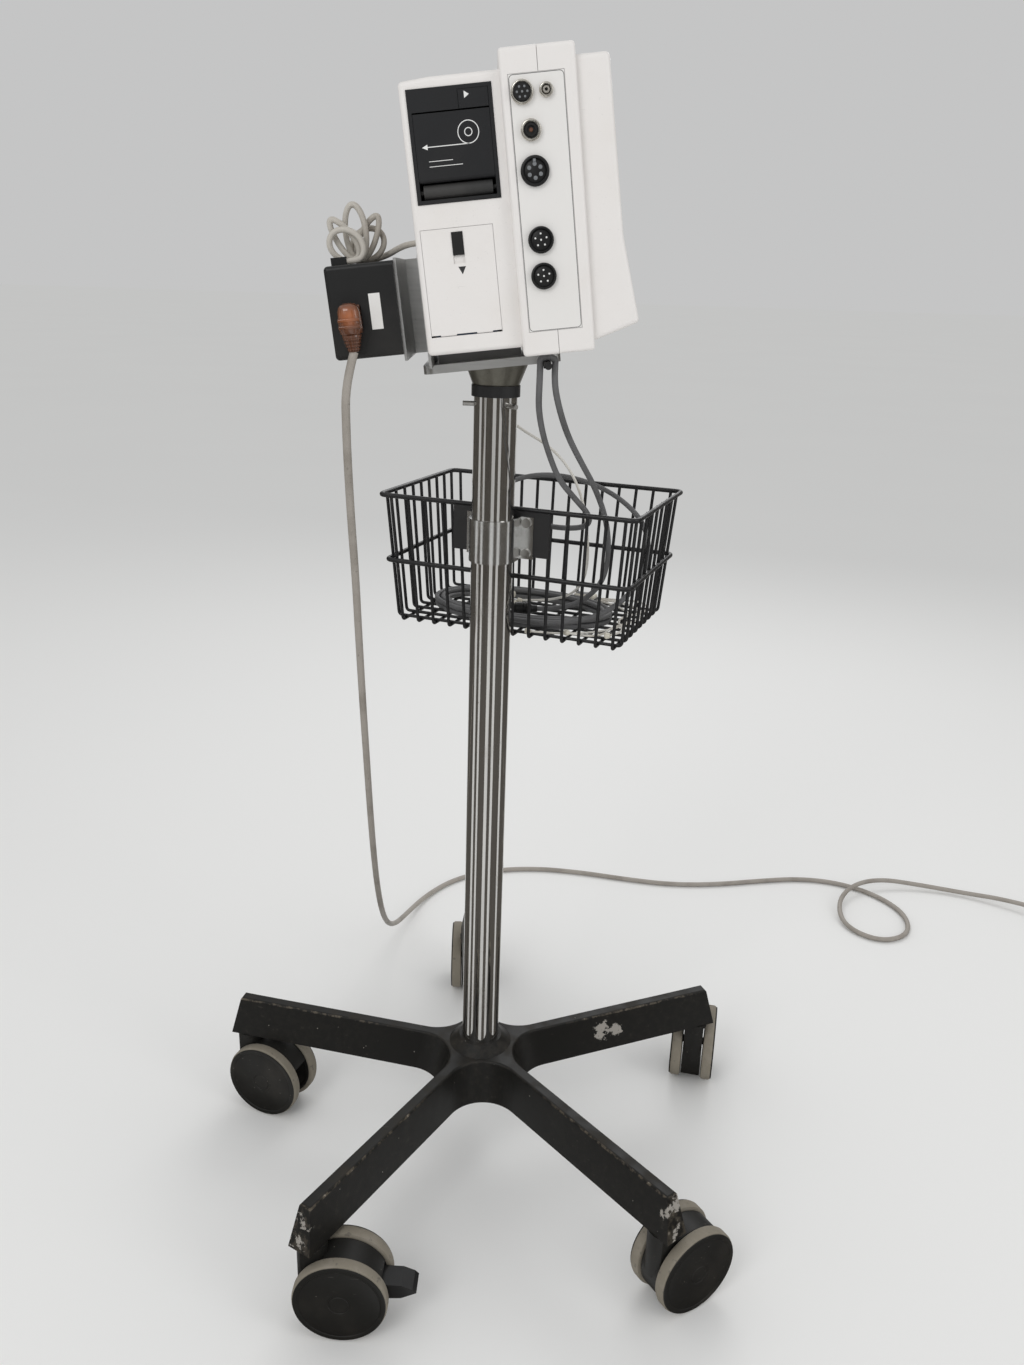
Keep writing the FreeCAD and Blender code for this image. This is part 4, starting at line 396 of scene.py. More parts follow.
class Shape:
    """A mesh put together from blocks, turned forms and flat plates, each in one finish of the piece."""

    def __init__(self):
        self.mesh = bmesh.new()

    def add(self, form, place, slot):
        bmesh.ops.recalc_face_normals(form, faces=form.faces)
        for face in form.faces:
            face.material_index = slot
            face.smooth = True
        form.transform(place)
        data = bpy.data.meshes.new("form")
        form.to_mesh(data)
        form.free()
        self.mesh.from_mesh(data)
        bpy.data.meshes.remove(data)
        return self

    def block(self, low, high, edge, place, slot=0, taper=1.0):
        """A box with rounded edges, its top drawn in by the taper."""
        form = bmesh.new()
        bmesh.ops.create_cube(form, size=1)
        bmesh.ops.scale(form, vec=[b - a for a, b in zip(low, high)], verts=form.verts)
        top = [vert for vert in form.verts if vert.co.z > 0]
        bmesh.ops.scale(form, vec=(taper, taper, 1), verts=top)
        bmesh.ops.translate(form, vec=[(a + b) / 2 for a, b in zip(low, high)], verts=form.verts)
        rounded(form, edge, 3)
        return self.add(form, place, slot)

    def turned(self, profile, place, slot=0, steps=40):
        """A profile of radius and height, turned about the upright axis of its place."""
        form = bmesh.new()
        line = [form.verts.new((radius, 0, height)) for radius, height in profile]
        edges = [form.edges.new(pair) for pair in zip(line, line[1:])]
        bmesh.ops.spin(form, geom=line + edges, cent=(0, 0, 0), axis=(0, 0, 1), angle=2 * pi, steps=steps,
                       use_merge=True)
        bmesh.ops.remove_doubles(form, verts=form.verts, dist=1e-5)
        return self.add(form, place, slot)

    def plate(self, outline, thickness, place, slot=0):
        """A flat outline in x and z, made thick towards -y."""
        form = bmesh.new()
        face = form.faces.new([form.verts.new((x, 0, z)) for x, z in outline])
        thickened(form, [face], thickness)
        return self.add(form, place, slot)

    def frame(self, low, high, corner, line, thickness, place, slot=0):
        """A thin line round a rectangle in x and z with round corners, made thick towards -y."""
        form = bmesh.new()
        corners = ((high[0] - corner, high[1] - corner), (low[0] + corner, high[1] - corner),
                   (low[0] + corner, low[1] + corner), (high[0] - corner, low[1] + corner))
        rings = []
        for radius in (corner, corner - line):
            ring = []
            for k, (x, z) in enumerate(corners):
                for step in range(CORNER_STEPS + 1):
                    angle = pi / 2 * (k + step / CORNER_STEPS)
                    ring.append(form.verts.new((x + radius * cos(angle), 0, z + radius * sin(angle))))
            rings.append(ring)
        outer, inner = rings
        for k in range(len(outer)):
            form.faces.new((outer[k - 1], outer[k], inner[k], inner[k - 1]))
        thickened(form, form.faces[:], thickness)
        return self.add(form, place, slot)

    def piece(self, name, finishes, body="stand", stands_for=()):
        mesh = bpy.data.meshes.new(name)
        self.mesh.to_mesh(mesh)
        self.mesh.free()
        for finish in finishes:
            mesh.materials.append(finish.material)
        mesh.set_sharp_from_angle(angle=SHARP)
        return settle(name, mesh, body, stands_for)


def settle(name, data, body="stand", stands_for=()):
    """Puts a mesh or curve in the scene as a piece that rides on a body."""
    thing = bpy.data.objects.new(name, data)
    bpy.context.scene.collection.objects.link(thing)
    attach(thing, body)
    if stands_for:
        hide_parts(*stands_for)
    return thing


def facing(start, direction, place):
    """The place of a turned form whose axis leaves a point in a direction."""
    turn = Vector((0, 0, 1)).rotation_difference(Vector(direction).normalized()).to_matrix().to_4x4()
    return place @ Matrix.Translation(start) @ turn


def spline(curve, points, cyclic=False):
    line = curve.splines.new("NURBS")
    line.points.add(len(points) - 1)
    for knot, point in zip(line.points, points):
        knot.co = (*point, 1)
    line.order_u = 3
    line.use_endpoint_u = not cyclic
    line.use_cyclic_u = cyclic


def round_curve(name, diameter, finish, smooth=6):
    curve = bpy.data.curves.new(name, "CURVE")
    curve.dimensions = "3D"
    curve.bevel_depth = diameter / 2
    curve.bevel_resolution = 3
    curve.resolution_u = smooth
    curve.use_fill_caps = True
    curve.materials.append(finish.material)
    return curve


def cord(name, points, diameter, finish, stands_for):
    curve = round_curve(name, diameter, finish)
    spline(curve, points)
    return settle(name, curve, "stand", stands_for)


def placed(place, points):
    return [place @ Vector(point) for point in points]


# Cords, on the routes of the part's source

MAINS = placed(ON_MONITOR, [(-126.6, -110, 21)]) + placed(IN_ROOM, [
    (-136, -116, 952), (-137, -108, 912), (-138, -92, 870), (-138, -76, 818), (-138, -52, 760),
    (-139, -26, 690), (-140, 8, 600), (-141, 46, 512), (-143, 94, 416), (-145, 148, 322), (-147, 210, 236),
    (-148, 280, 158), (-147, 356, 94), (-142, 436, 46), (-130, 516, 17), (-104, 592, 5), (-56, 655, 4),
    (16, 692, 4), (98, 702, 4),
    (182, 690, 4), (264, 668, 4), (346, 652, 4), (430, 656, 4), (512, 672, 4), (592, 684, 4), (664, 670, 4),
    (722, 626, 4), (752, 562, 4), (734, 496, 4), (676, 474, 4), (628, 518, 5), (634, 586, 11), (674, 640, 17),
    (734, 666, 17), (806, 662, 9), (884, 640, 6), (956, 602, 14), (1014, 556, 17.5)])


def eased(share):
    """A rise from 0 to 1 that starts and ends softly."""
    return 3 * share ** 2 - 2 * share ** 3


HANK_TURNS = 5
HANK_FOOT = (-117, -78.6, 98.05)
HANK_WIDTH = 33
HANK_STEP = 4
STEP_STEEPNESS = 10
LOOP_HALF_WIDTH = 11
LOOP_HALF_LENGTH = 14
LOOP_GROWTH = 10
LOOP_LEAN = 40
LOOP_BEND = 15
HANK_POINTS = 100


def hank_point(share):
    """Long loops side by side that fan out from where they are tied."""
    angle = 2 * pi * HANK_TURNS * share
    lean = radians(90 + LOOP_LEAN * sin(2 * pi * share) + LOOP_BEND * sin(4 * pi * share))
    half = LOOP_HALF_LENGTH + LOOP_GROWTH * sin(pi * share) ** 2
    up, out = half * (1 - cos(angle)), LOOP_HALF_WIDTH * sin(angle)
    lift = hypot(half * sin(lean), LOOP_HALF_WIDTH * cos(lean)) - half * sin(lean)
    clear = min(STEP_STEEPNESS * share, 1)
    across, away, height = HANK_FOOT
    return (across + up * cos(lean) + out * sin(lean), away + HANK_WIDTH * share + HANK_STEP * eased(clear),
            height + lift + up * sin(lean) - out * cos(lean))


HANK = [hank_point(k / HANK_POINTS) for k in range(HANK_POINTS + 1)]
SUPPLY = placed(ON_MONITOR, [(-126, -78.6, 98.05)] + HANK + [
    (-108.75, -41.6, 98.05), (-101, -37, 98.9), (-91, -37.5, 101.5), (-80, -46, 106), (-69, -57, 108),
    (-59.8, -60, 108)])

COIL_TURNS = 4.5
LAYER_TURNS = 2
CLIMB_TURNS = 0.5
COIL_START = 0.25
COIL_CENTRE = (-10, 128, 677.3)
COIL_HALF_LENGTH = 112
COIL_HALF_WIDTH = 66
COIL_PITCH = 7.4
LAYER_RISE = 6.8
COIL_POINTS = 90


def coil_point(share):
    """Turns that wind inward on the basket's floor, climb a layer and wind outward again."""
    turn = COIL_TURNS * share
    inward = min(turn, LAYER_TURNS, COIL_TURNS - turn)
    climb = min(max((turn - LAYER_TURNS) / CLIMB_TURNS, 0), 1)
    angle = 2 * pi * (turn + COIL_START)
    across, away, height = COIL_CENTRE
    return (across + (COIL_HALF_LENGTH - COIL_PITCH * inward) * cos(angle),
            away + (COIL_HALF_WIDTH - COIL_PITCH * inward) * sin(angle), height + LAYER_RISE * eased(climb))


COIL = [coil_point(k / COIL_POINTS) for k in range(COIL_POINTS + 1)]
PATIENT = placed(IN_BASKET, [(30, 194, 677.3)] + COIL + [
    (24, 60, 684.5), (62, 62, 687), (100, 76, 697), (126, 108, 718), (134, 148, 748), (118, 184, 782),
    (78, 203, 808), (30, 207, 824), (-18, 198, 828), (-50, 170, 820), (-52, 134, 808), (-26, 104, 796),
    (14, 88, 790), (52, 80, 790), (82, 68, 797), (92, 48, 813), (80, 28, 834)]) + placed(IN_ROOM, [
        (66, -22, 856), (54, -50, 884), (45, -74, 910), (40, -92, 934), (39.7, -102, 952), (39.7, -104, 963),
        (39.7, -104, 973.7), (39.7, -104, 980.5), (53.3, -104, 980.5), (53.3, -104, 973.7), (53.3, -104, 963),
        (55, -101, 949), (62, -86, 926), (72, -62, 902), (88, -32, 874), (106, -2, 844), (122, 28, 806),
        (130, 56, 764), (128, 80, 726), (112, 90, 702), (84, 94, 687), (54, 94, 686.5)])

SENSOR = placed(IN_ROOM, [
    (0, 45, 961), (0, 45, 944), (2, 46, 926), (12, 48, 908), (32, 50, 894), (58, 52, 880), (82, 56, 856),
    (98, 62, 822), (106, 72, 784)]) + placed(IN_BASKET, [
        (70, 118, 748), (62, 132, 720), (46, 142, 700), (24, 145, 690), (0, 141, 686), (-22, 136, 685)])

LEADS = [placed(IN_BASKET, route) for route in (
    [(58, 194, 681), (70, 193.5, 680.2), (82, 190, 679), (93, 184, 678.2), (103, 175, 678), (111, 163, 678),
     (116, 148, 678), (118, 131, 678), (116, 114, 678), (110, 98, 678), (101, 84, 678), (90, 72, 678),
     (77, 62, 678), (62, 54, 678), (46, 49, 678), (30, 47, 678)],
    [(58, 198, 681), (71, 198.5, 681), (84, 197, 681.2), (97, 193, 681.5), (109, 186, 681.5),
     (119, 175, 681.5), (126, 161, 681.5), (129, 145, 681.5), (127, 128, 681.5), (121, 112, 681.5),
     (113, 97, 681.5), (109, 82, 681.5), (110, 66, 681.5), (104, 53, 681.5), (90, 47, 681.5), (75, 49, 681.5)],
    [(58, 202, 681), (72, 203, 681.5), (86, 203, 682.6), (100, 201, 684), (112, 197, 685), (122, 189, 685),
     (129, 177, 685), (130, 162, 685), (125, 147, 685), (117, 134, 685), (112, 118, 685), (114, 102, 685),
     (122, 89, 685), (127, 75, 685), (126, 62, 685), (120, 52, 685)])]
LEAD_LENGTHS = (0.231, 0.226, 0.214)


BLADE = (1.5, 6.3)


def mains_plug():
    """A round moulded plug with a ribbed boot, two blades and a round pin."""
    start, before = MAINS[-1] / MM, MAINS[-2] / MM
    place = facing(start, start - before, IN_ROOM)
    boot = [(4, 0), (6.4, 0.2)]
    for rib in range(5):
        low = 1.5 + 4 * rib
        wide = 6.6 + 0.6 * rib
        boot += [(wide, low), (wide + 0.5, low + 0.4), (wide + 0.5, low + 2), (wide - 0.7, low + 2.5),
                 (wide - 0.7, low + 3.6)]
    grip = [(9.6, 22), (15, 22.4), (16.6, 24), (17, 27), (16.2, 33), (15.6, 42), (16.4, 50), (17, 53),
            (16.6, 55.4), (15.4, 56), (0, 56)]
    shape = Shape().turned(boot + grip, place)
    wide, high = BLADE
    for across in (-6.3, 6.3):
        shape.block((across - wide / 2, -high / 2 - 2, 55), (across + wide / 2, high / 2 - 2, 72.5), 0.5,
                    place, 1)
    pin = [(0, 55), (2.3, 55), (2.3, 71), (1.2, 72.8), (0, 73)]
    shape.turned(pin, place @ Matrix.Translation((0, 7, 0)), 1, 20)
    return shape.piece("moulded_plug", [TAUPE_CORD, STEEL], "stand", ["mains_plug"])


def mains_connector():
    """The amber connector in the power supply's inlet, with its ribbed strain relief."""
    shape = Shape().block((-137.4, -119.9, 34), (-115.8, -98.4, 62.9), 7, ON_MONITOR, 0, 0.9)
    shape.block((-135.6, -101, 37), (-117.6, -92.2, 61), 1.2, ON_MONITOR)
    shape.block((-136.4, -120, 41), (-116.8, -116, 44), 0.8, ON_MONITOR)
    shape.block((-136.4, -120, 47), (-116.8, -116, 50), 0.8, ON_MONITOR)
    relief = [(0, 14.6), (8.6, 14.6), (8.8, 12.6)]
    for rib in range(4):
        low = 12 - 2.9 * rib
        wide = 8.2 - 0.75 * rib
        relief += [(wide, low), (wide, low - 1.5), (wide - 1.1, low - 1.9), (wide - 1.1, low - 2.6)]
    relief += [(5.2, 0.4), (4.4, 0), (0, 0)]
    shape.turned(relief, ON_MONITOR @ Matrix.Translation((-126.6, -110, 21)))
    return shape.piece("amber_plug", [AMBER], "stand", ["mains_connector"])


def trunk_plug():
    """The black plug at the end of the patient cable."""
    start, before = PATIENT[-1] / MM, PATIENT[-2] / MM
    profile = [(0, 0), (3.6, 0), (4.2, 0.6), (4.6, 6), (7.2, 9), (7.8, 11), (7.8, 13), (7.2, 13.4),
               (7.2, 14.2), (7.8, 14.6), (7.8, 16), (7.2, 16.4), (7.2, 17.2), (7.8, 17.6), (7.8, 25), (6.6, 25.6),
               (6.6, 35.4), (6, 36), (5.4, 35.8), (5.4, 30), (0, 30)]
    return Shape().turned(profile, facing(start, start - before, IN_ROOM)).piece("patient_plug", [BLACK])


def lead_yoke():
    """The block where the patient cable parts into its three leads."""
    shape = Shape().block((30.2, 191.2, 674.4), (57.8, 205.8, 686.8), 3, IN_BASKET)
    shape.block((33, 193.5, 686.2), (55, 203.5, 686.9), 0.3, IN_BASKET, 1)
    for away in (194, 198, 202):
        shape.turned([(0, 0), (2, 0), (1.9, 3.4), (1.4, 3.8), (0, 3.8)],
                     facing((57, away, 681), (1, 0, 0), IN_BASKET), 1, 20)
    return shape.piece("lead_yoke", [CREAM, GREY_CORD])


def snap_clip(number, route):
    end, before = route[-1] / MM, route[-2] / MM
    profile = [(0, 0), (1.6, 0), (2, 1), (3.1, 2), (3.4, 3), (3.4, 5.6), (3, 6.6), (2.2, 7), (0, 7)]
    shape = Shape().turned(profile, facing(end, end - before, IN_ROOM), 0, 28)
    return shape.piece("snap_clip_%d" % number, [CREAM])


def finger_clip():
    """A finger sensor: two sprung jaws on a pin, in cream."""
    shape = Shape()
    shape.block((-77.8, 126.4, 674.4), (-23, 145.6, 682.6), 3, IN_BASKET)
    shape.block((-77.4, 126.8, 685.4), (-26, 145.2, 694.2), 3.2, IN_BASKET)
    shape.block((-76, 129, 682), (-48, 143, 686), 1, IN_BASKET, 1)
    shape.block((-44, 130.5, 682), (-34, 141.5, 686), 1.2, IN_BASKET)
    for away in (127, 142.4):
        shape.turned([(0, 0), (2.2, 0), (2.4, 0.4), (2.4, 2.2), (2, 2.6), (0, 2.6)],
                     facing((-39, away, 684), (0, 1, 0), IN_BASKET), 2, 20)
    shape.turned([(0, -5), (2.4, -5), (3, -3), (3.2, 0), (0, 0)],
                 facing((-20.4, 136, 685), (-1, 0, 0), IN_BASKET), 0, 24)
    return shape.piece("finger_clip", [CREAM, GREY_CORD, STEEL], "stand", ["finger_sensor"])


plug = mains_plug()
amber_plug = mains_connector()
patient_plug = trunk_plug()
yoke = lead_yoke()
sensor_clip = finger_clip()
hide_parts("cable_ends")
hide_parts("cable_ends")

cord("mains_cord_line", MAINS, 0.008, TAUPE_CORD, ["mains_cord"])
cord("supply_cord_line", SUPPLY, 0.0055, BEIGE_CORD, ["dc_hank", "dc_lead"])
cord("patient_cord_line", PATIENT, 0.006, GREY_CORD, ["cable_coil", "patient_cable"])
cord("sensor_cord_line", SENSOR, 0.003, WHITE_LEAD, ["sensor_cable"])
for number, (route, length) in enumerate(zip(LEADS, LEAD_LENGTHS)):
    clip = snap_clip(number, route)
    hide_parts("cable_ends")
    lead = cord("lead_line_%d" % number, route, 0.0024, WHITE_LEAD, ["lead_wires"])


# Basket of welded wire

# Half length, front, back and height
RIM = (148.0, 27.8, 223.8, 818.0)
FLOOR = (138.0, 37.8, 213.8, 672.0)
MIDDLE = 743.0
CORNER = 14
RIM_DROP = 0.8
COLUMNS = 13
ROWS = 8
WALL_INSET = 3.6
END_INSET = 4
WIRE_DROP = 1
WIRE_CROSSING = 3.2


def basket_level(height):
    """Half length, front, back of the basket's walls at a height."""
    share = (height - FLOOR[3]) / (RIM[3] - FLOOR[3])
    return [low + share * (high - low) for low, high in zip(FLOOR[:3], RIM[:3])]


def basket_ring(height, corner):
    """A wire round the basket at a height, with bent corners."""
    half, near, far = basket_level(height)
    points = []
    for s, t, ds, dt in ((-half, near, 1, 1), (half, near, -1, 1), (half, far, -1, -1), (-half, far, 1, -1)):
        before, after = (s, t + dt * corner), (s + ds * corner, t)
        turn = [before, (s, t + dt * corner / 3), (s + ds * corner / 3, t), after]
        points += [(*p, height) for p in (turn if ds * dt > 0 else turn[::-1])]
    return placed(IN_BASKET, points)


def bent_wire(top_a, foot_a, foot_b, top_b, bend=7.0):
    """A wire down one wall, across the floor and up the other wall."""
    corners = [Vector(point) for point in (top_a, foot_a, foot_b, top_b)]
    points = [corners[0]]
    for k in (1, 2):
        back = (corners[k - 1] - corners[k]).normalized()
        on = (corners[k + 1] - corners[k]).normalized()
        points += [corners[k] + back * bend, corners[k] + back * bend / 3,
                   corners[k] + on * bend / 3, corners[k] + on * bend]
    return placed(IN_BASKET, points + [corners[3]])


def wire_basket():
    rims = round_curve("basket_rims", 0.0054, WIRE, 5)
    rim_half, rim_front, rim_back, rim_height = RIM
    floor_half, floor_front, floor_back, floor_height = FLOOR
    top, low = rim_height - WIRE_DROP, floor_height + WIRE_CROSSING
    spline(rims, basket_ring(rim_height - RIM_DROP, CORNER), True)
    spline(rims, basket_ring(MIDDLE, CORNER), True)
    wires = round_curve("basket_wires", 0.0037, WIRE, 3)
    for column in range(COLUMNS + 1):
        share = 2 * (0.03 + 0.94 * column / COLUMNS) - 1
        s_top, s_foot = share * (rim_half - END_INSET), share * (floor_half - END_INSET)
        spline(wires, bent_wire(
            (s_top, rim_front + WALL_INSET, top), (s_foot, floor_front + WALL_INSET, floor_height),
            (s_foot, floor_back - WALL_INSET, floor_height), (s_top, rim_back - WALL_INSET, top)))
    for row in range(ROWS + 1):
        share = 0.04 + 0.92 * row / ROWS
        t_top = rim_front + END_INSET + share * (rim_back - rim_front - 2 * END_INSET)
        t_foot = floor_front + END_INSET + share * (floor_back - floor_front - 2 * END_INSET)
        spline(wires, bent_wire(
            (-rim_half + WALL_INSET, t_top, top), (-floor_half + WALL_INSET, t_foot, low),
            (floor_half - WALL_INSET, t_foot, low), (rim_half - WALL_INSET, t_top, top)))
    settle("basket_rims", rims, "stand", ["wire_basket"])
    settle("basket_wires", wires, "stand", ["wire_basket"])


wire_basket()


# Casters

LEG_TURN = 93.3
LEG_SPACING = 72
CASTER_REACH = 313.0
TRAIL = 32.0
WHEEL_CENTRE = 50.0

# Profiles of radius and distance from the caster's middle
HUB = [(4.4, 14.2), (16, 14.2), (17, 15.4), (40, 15.4), (41.5, 14.2), (45, 14.2)]
TREAD = [(45, 14.2), (47.6, 14.2), (49.2, 15), (50, 16.8), (50, 24.8), (49.4, 26.6), (48.2, 27.4), (45, 27.5)]
CAP = [(45, 27.5), (48.1, 27.5), (48.5, 27.9), (48.3, 28.7), (47.4, 29), (43.6, 29), (43, 28.5), (42, 28.5),
       (41.4, 28.9), (12, 28.9), (11.4, 28.4), (10.2, 28.4), (9.6, 28.9), (0, 28.9)]


def wheels():
    for number, (name, trail) in enumerate(CASTERS):
        angle = radians(LEG_TURN + LEG_SPACING * number)
        swivel = IN_ROOM @ Matrix.Translation((CASTER_REACH * cos(angle), CASTER_REACH * sin(angle), 0))
        axle = swivel @ Matrix.Rotation(radians(trail), 4, "Z") @ Matrix.Translation((TRAIL, 0, WHEEL_CENTRE))
        for side, turn in (("outer", -pi / 2), ("inner", pi / 2)):
            place = axle @ Matrix.Rotation(turn, 4, "X")
            node = "wheel_%s_%s" % (name, side)
            Shape().turned(HUB, place, 0, 64).turned(TREAD, place, 1, 64).turned(CAP, place, 0, 64).piece(
                "rolling_" + node, [NYLON, TYRE], node, [node])


wheels()


# Marks and small fittings of the monitor

SOCKET_FOOT = -131
OUTWARD = (0, -1, 0)


def on_face(depth):
    """The monitor's place with its front face at a depth."""
    return ON_MONITOR @ Matrix.Translation((0, depth, 0))


def at_socket(across, up):
    return facing((across, SOCKET_FOOT, up), OUTWARD, ON_MONITOR)


def socket(shape, across, up, radius, bore, floor, shell, insert):
    """A round socket: its shell with a rounded rim, and an insert down in its bore."""
    place = at_socket(across, up)
    shape.turned([(0, 0.2), (radius, 0.2), (radius, 10.2), (radius - 0.3, 10.7), (radius - 0.8, 11),
                  (bore + 0.5, 11), (bore, 10.5), (bore, floor), (0, floor)], place, shell)
    shape.turned([(bore - 0.15, floor), (bore - 0.15, floor + 0.7), (bore - 0.6, floor + 1), (0, floor + 1)],
                 place, insert)


def contacts(shape, across, up, floor, places, radius, tall, slot):
    """Small round contacts that stand on a socket's insert."""
    for right, rise in places:
        start = (across + right, SOCKET_FOOT - floor, up + rise)
        shape.turned([(0, -0.2), (radius, -0.2), (radius, tall - 0.3), (0.6 * radius, tall), (0, tall)],
                     facing(start, OUTWARD, ON_MONITOR), slot, 16)


def ring_of(count, radius, start=0.0):
    angles = [start + 2 * pi * k / count for k in range(count)]
    return [(radius * cos(angle), radius * sin(angle)) for angle in angles]


def metal_sockets():
    """The sensor, cuff and temperature sockets in nickel."""
    shape = Shape()
    socket(shape, 41.7, 211, 9.3, 7.4, 6, 0, 0)
    shape.turned([(0, 6.5), (7.1, 6.5), (7.1, 10.3), (6.7, 10.7), (0, 10.7)], at_socket(41.7, 211), 1)
    contacts(shape, 41.7, 211, 10.7, ring_of(6, 4.3) + [(0, 0)], 0.95, 0.5, 2)
    socket(shape, 61.5, 211, 5.75, 3.9, 6.5, 0, 3)
    shape.turned([(1.1, 7), (3, 7), (3, 10.2), (2.6, 10.6), (1.4, 10.6), (1.1, 10.2), (1.1, 7)],
                 at_socket(61.5, 211), 0)
    socket(shape, 46.6, 182.5, 8.5, 6.4, 7.5, 0, 3)
    inner = at_socket(46.6, 182.5)
    shape.turned([(3.2, 8), (5.2, 8), (5.2, 10.3), (4.9, 10.6), (3.5, 10.6), (3.2, 10.3), (3.2, 8)], inner, 1)
    shape.turned([(0, 8), (1.7, 8), (1.7, 9.8), (1.2, 10.2), (0, 10.2)], inner, 4, 24)
    shape.piece("nickel_sockets", [SOCKET_METAL, BLACK, KEYPAD, INK_DARK, AMBER], "stand", ["metal_sockets"])


def pin_sockets():
    """The heart-lead socket and the two pressure sockets in black."""
    shape = Shape()
    socket(shape, 47.2, 151.6, 12, 9.6, 7.8, 0, 0)
    contacts(shape, 47.2, 151.6, 8.8, ring_of(6, 5.4, pi / 6), 1.7, 0.7, 1)
    shape.block((46, -141.2, 158.4), (48.4, -139, 161), 0.3, ON_MONITOR, 1)
    for up in (98, 69):
        socket(shape, 47.6, up, 10.85, 9, 7.8, 0, 0)
        contacts(shape, 47.6, up, 8.8, ring_of(5, 5, pi / 2) + [(0, 0)], 0.8, 1.4, 2)
    shape.piece("black_sockets", [BLACK, KEYPAD, INK_WHITE], "stand", ["pin_sockets"])


def printed_marks():
    """Line round the sockets, plain arrowheads and a plain sign of a paper roll."""
    line = Shape().frame((31.6, 24.6), (76.9, 224.4), 3.5, 0.45, 0.08, on_face(-137.96))
    line.piece("panel_line", [INK_DARK])
    arrow = Shape().plate([(-5.7, 217.4), (-5.7, 212), (-1.6, 214.7)], 0.1, on_face(-131.46))
    arrow.piece("press_arrow", [INK_WHITE], "recorder_button")
    arrow = Shape().plate([(-24.8, 83.4), (-18.2, 83.4), (-21.6, 77)], 0.1, on_face(-129.96))
    arrow.piece("battery_arrow", [INK_DARK], "battery_door")
    on_door = on_face(-130.96)
    sign = Shape()
    for radius in (9, 3.4):
        sign.turned([(radius - 0.7, 0), (radius - 0.7, 0.1), (radius, 0.1), (radius, 0)],
                    facing((-5, 0, 187), OUTWARD, on_door), 0, 48)
    sign.block((-40, -0.1, 177.9), (-5, 0, 178.6), 0.02, on_door)
    sign.plate([(-40, 180.4), (-44.6, 178.25), (-40, 176.1)], 0.1, on_door)
    sign.block((-40, -0.1, 163), (-12, 0, 163.5), 0.02, on_door)
    sign.block((-40, -0.1, 167), (-20, 0, 167.5), 0.02, on_door)
    sign.piece("paper_sign", [INK_WHITE], "recorder_door")


def supply_label():
    """The blank label beside the supply's inlet."""
    outline = [(-108.6, 38.2), (-98.4, 38.2), (-98.4, 69), (-108.6, 69)]
    Shape().plate(outline, 0.12, on_face(-99.96)).piece("blank_label", [LABEL])


metal_sockets()
pin_sockets()
printed_marks()
supply_label()


# Floor, light and camera

FLAG_CLOTH = Finish("flag_cloth", (0.1, 0.09, 0.078), 0.9)
FLOOR_SIZE = 60
FLOOR_DROP = 0.0006

# Bearing and spread of each dark card, in degrees, and its rows of reach and height
FLAGS = [(-122, 62), (-68, 16), (-31, 36), (13, 17), (56, 42), (118, 56)]
FLAG_ROWS = [(0.2, 0.0002), (2.6, 0.0002), (2.6, 2.4)]

AIR_COLOUR = (0.87, 0.872, 0.873, 1)
AIR_LIGHT = 0.74
AIR_SEEN = 0.64


def staged(name, form, finish):
    """Puts a form in the scene as a part of the studio."""
    mesh = bpy.data.meshes.new(name)
    form.to_mesh(mesh)
    form.free()
    mesh.materials.append(finish.material)
    thing = bpy.data.objects.new(name, mesh)
    bpy.context.scene.collection.objects.link(thing)
    return thing


def studio_floor():
    form = bmesh.new()
    bmesh.ops.create_grid(form, x_segments=1, y_segments=1, size=FLOOR_SIZE)
    bmesh.ops.translate(form, vec=(0, 0, -FLOOR_DROP), verts=form.verts)
    pale = Finish("studio_pale", (0.86, 0.86, 0.85), 0.85, specular_ior_level=0.0)
    pale.lay(pale.fade(pale.noise(0.7, 2), 0.3, 0.8) * 0.3, (0.83, 0.83, 0.825))
    staged("studio_floor", form, pale)


def flag(name, bearing, spread):
    """A dark card, flat on the floor and then upright, that only shiny faces mirror."""
    form = bmesh.new()
    rows = []
    angles = [radians(bearing + turn * spread / 2) for turn in (-1, -0.33, 0.33, 1)]
    for reach, height in FLAG_ROWS:
        rows.append([form.verts.new((reach * sin(angle), -reach * cos(angle), height)) for angle in angles])
    for near, far in zip(rows, rows[1:]):
        for k in range(len(angles) - 1):
            form.faces.new((near[k], near[k + 1], far[k + 1], far[k]))
    card = staged(name, form, FLAG_CLOTH)
    card.visible_camera = card.visible_diffuse = card.visible_shadow = False


def lamp(name, place, aim, size, power):
    light = bpy.data.lights.new(name, "AREA")
    light.shape = "RECTANGLE"
    light.size, light.size_y = size
    light.energy = power
    thing = bpy.data.objects.new(name, light)
    thing.location = place
    thing.rotation_euler = (Vector(aim) - Vector(place)).to_track_quat("-Z", "Y").to_euler()
    bpy.context.scene.collection.objects.link(thing)


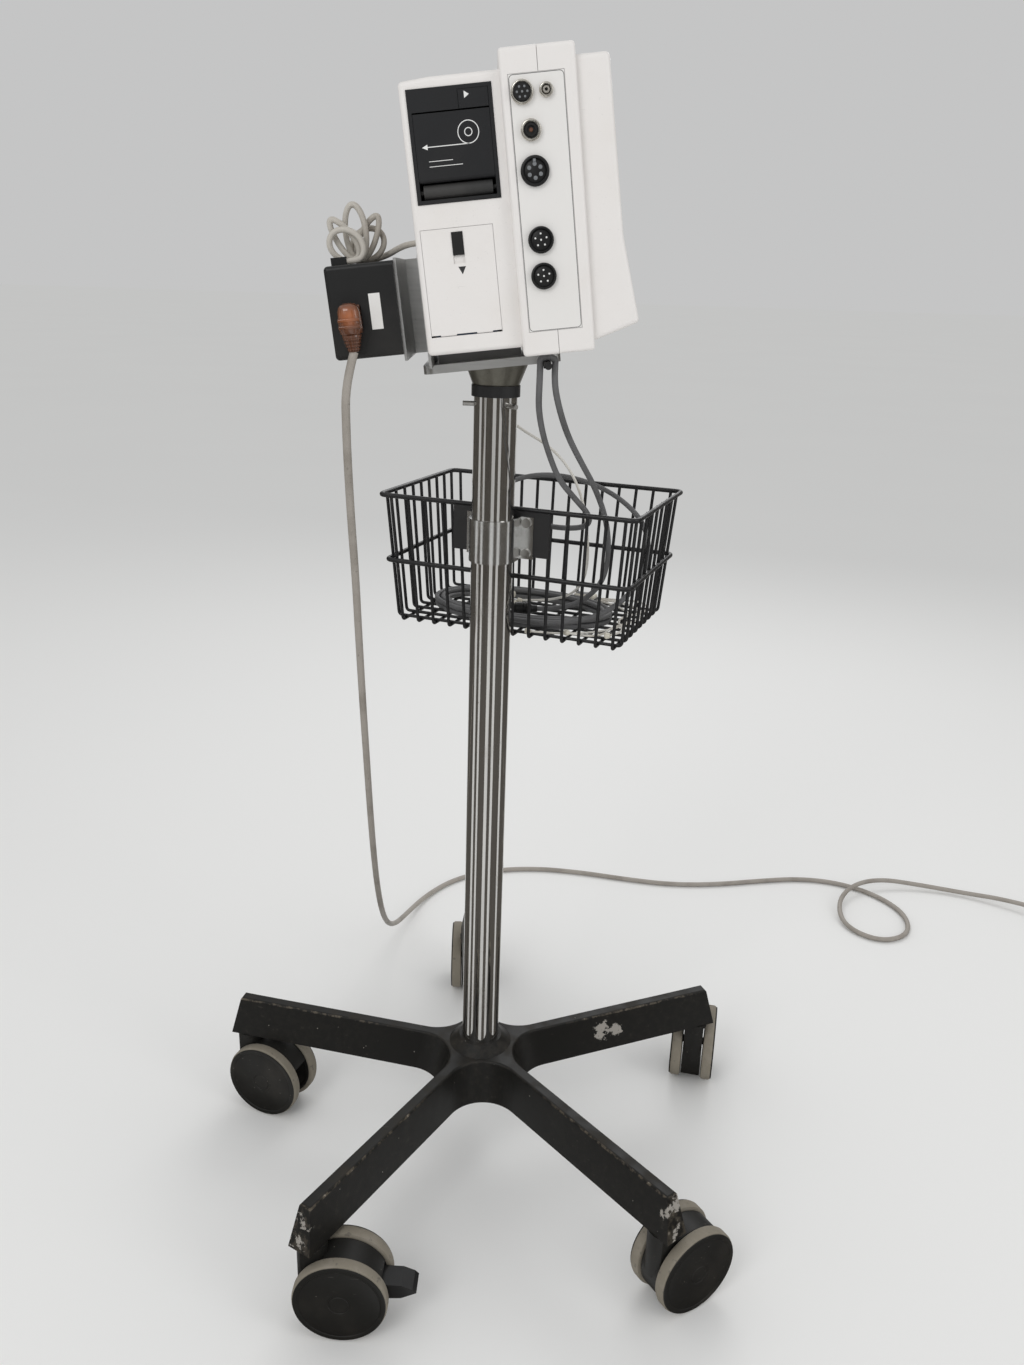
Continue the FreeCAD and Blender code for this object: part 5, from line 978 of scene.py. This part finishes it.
def studio_air():
    """Soft light from all sides, a little darker where it is seen or mirrored."""
    world = bpy.data.worlds.new("studio_air")
    world.use_nodes = True
    tree = world.node_tree
    air = tree.nodes["Background"]
    air.inputs["Color"].default_value = AIR_COLOUR
    path = tree.nodes.new("ShaderNodeLightPath")
    strength = tree.nodes.new("ShaderNodeMapRange")
    strength.inputs["To Min"].default_value = AIR_LIGHT
    strength.inputs["To Max"].default_value = AIR_SEEN
    rays = path.outputs["Is Camera Ray"]
    for kind in ("Is Glossy Ray", "Is Transmission Ray"):
        added = tree.nodes.new("ShaderNodeMath")
        tree.links.new(rays, added.inputs[0])
        tree.links.new(path.outputs[kind], added.inputs[1])
        rays = added.outputs[0]
    tree.links.new(rays, strength.inputs["Value"])
    tree.links.new(strength.outputs[0], air.inputs["Strength"])
    bpy.context.scene.world = world


def studio():
    studio_floor()
    for number, (bearing, spread) in enumerate(FLAGS):
        flag("flag_%d" % number, bearing, spread)
    lamp("key_light", (-1.3, -2.2, 2.3), (0, 0, 0.8), (1.2, 1.6), 21)
    lamp("fill_light", (2.0, -1.5, 1.5), (0, 0, 0.7), (1.0, 1.8), 10)
    lamp("back_light", (0.6, 2.2, 2.2), (0, 0, 0.8), (1.6, 1.2), 15)
    studio_air()


CAMERA_PLACE = (0, -1.1569, 1.0465)
CAMERA_PITCH, CAMERA_ROLL, CAMERA_YAW = 19.866, 1.819, 1.2625
LENS_LENGTH = 29.464
SENSOR_HEIGHT = 36


def camera():
    """Stands where the photograph was taken, a little tipped and rolled."""
    pitch, roll, yaw = radians(CAMERA_PITCH), radians(CAMERA_ROLL), radians(CAMERA_YAW)
    up = Vector((0, 0, 1))
    right = Vector((cos(yaw), -sin(yaw), 0))
    ahead = Vector((sin(yaw), cos(yaw), 0))
    view = ahead * cos(pitch) - up * sin(pitch)
    above = up * cos(pitch) + ahead * sin(pitch)
    side = right * cos(roll) + above * sin(roll)
    top = above * cos(roll) - right * sin(roll)
    lens = bpy.data.cameras.new("photo_camera")
    lens.lens = LENS_LENGTH
    lens.sensor_fit = "VERTICAL"
    lens.sensor_height = SENSOR_HEIGHT
    thing = bpy.data.objects.new("photo_camera", lens)
    turn = Matrix((side, top, -view)).transposed().to_4x4()
    thing.matrix_world = Matrix.Translation(CAMERA_PLACE) @ turn
    bpy.context.scene.collection.objects.link(thing)
    bpy.context.scene.camera = thing


studio()
camera()
bpy.context.scene.view_settings.view_transform = "Standard"
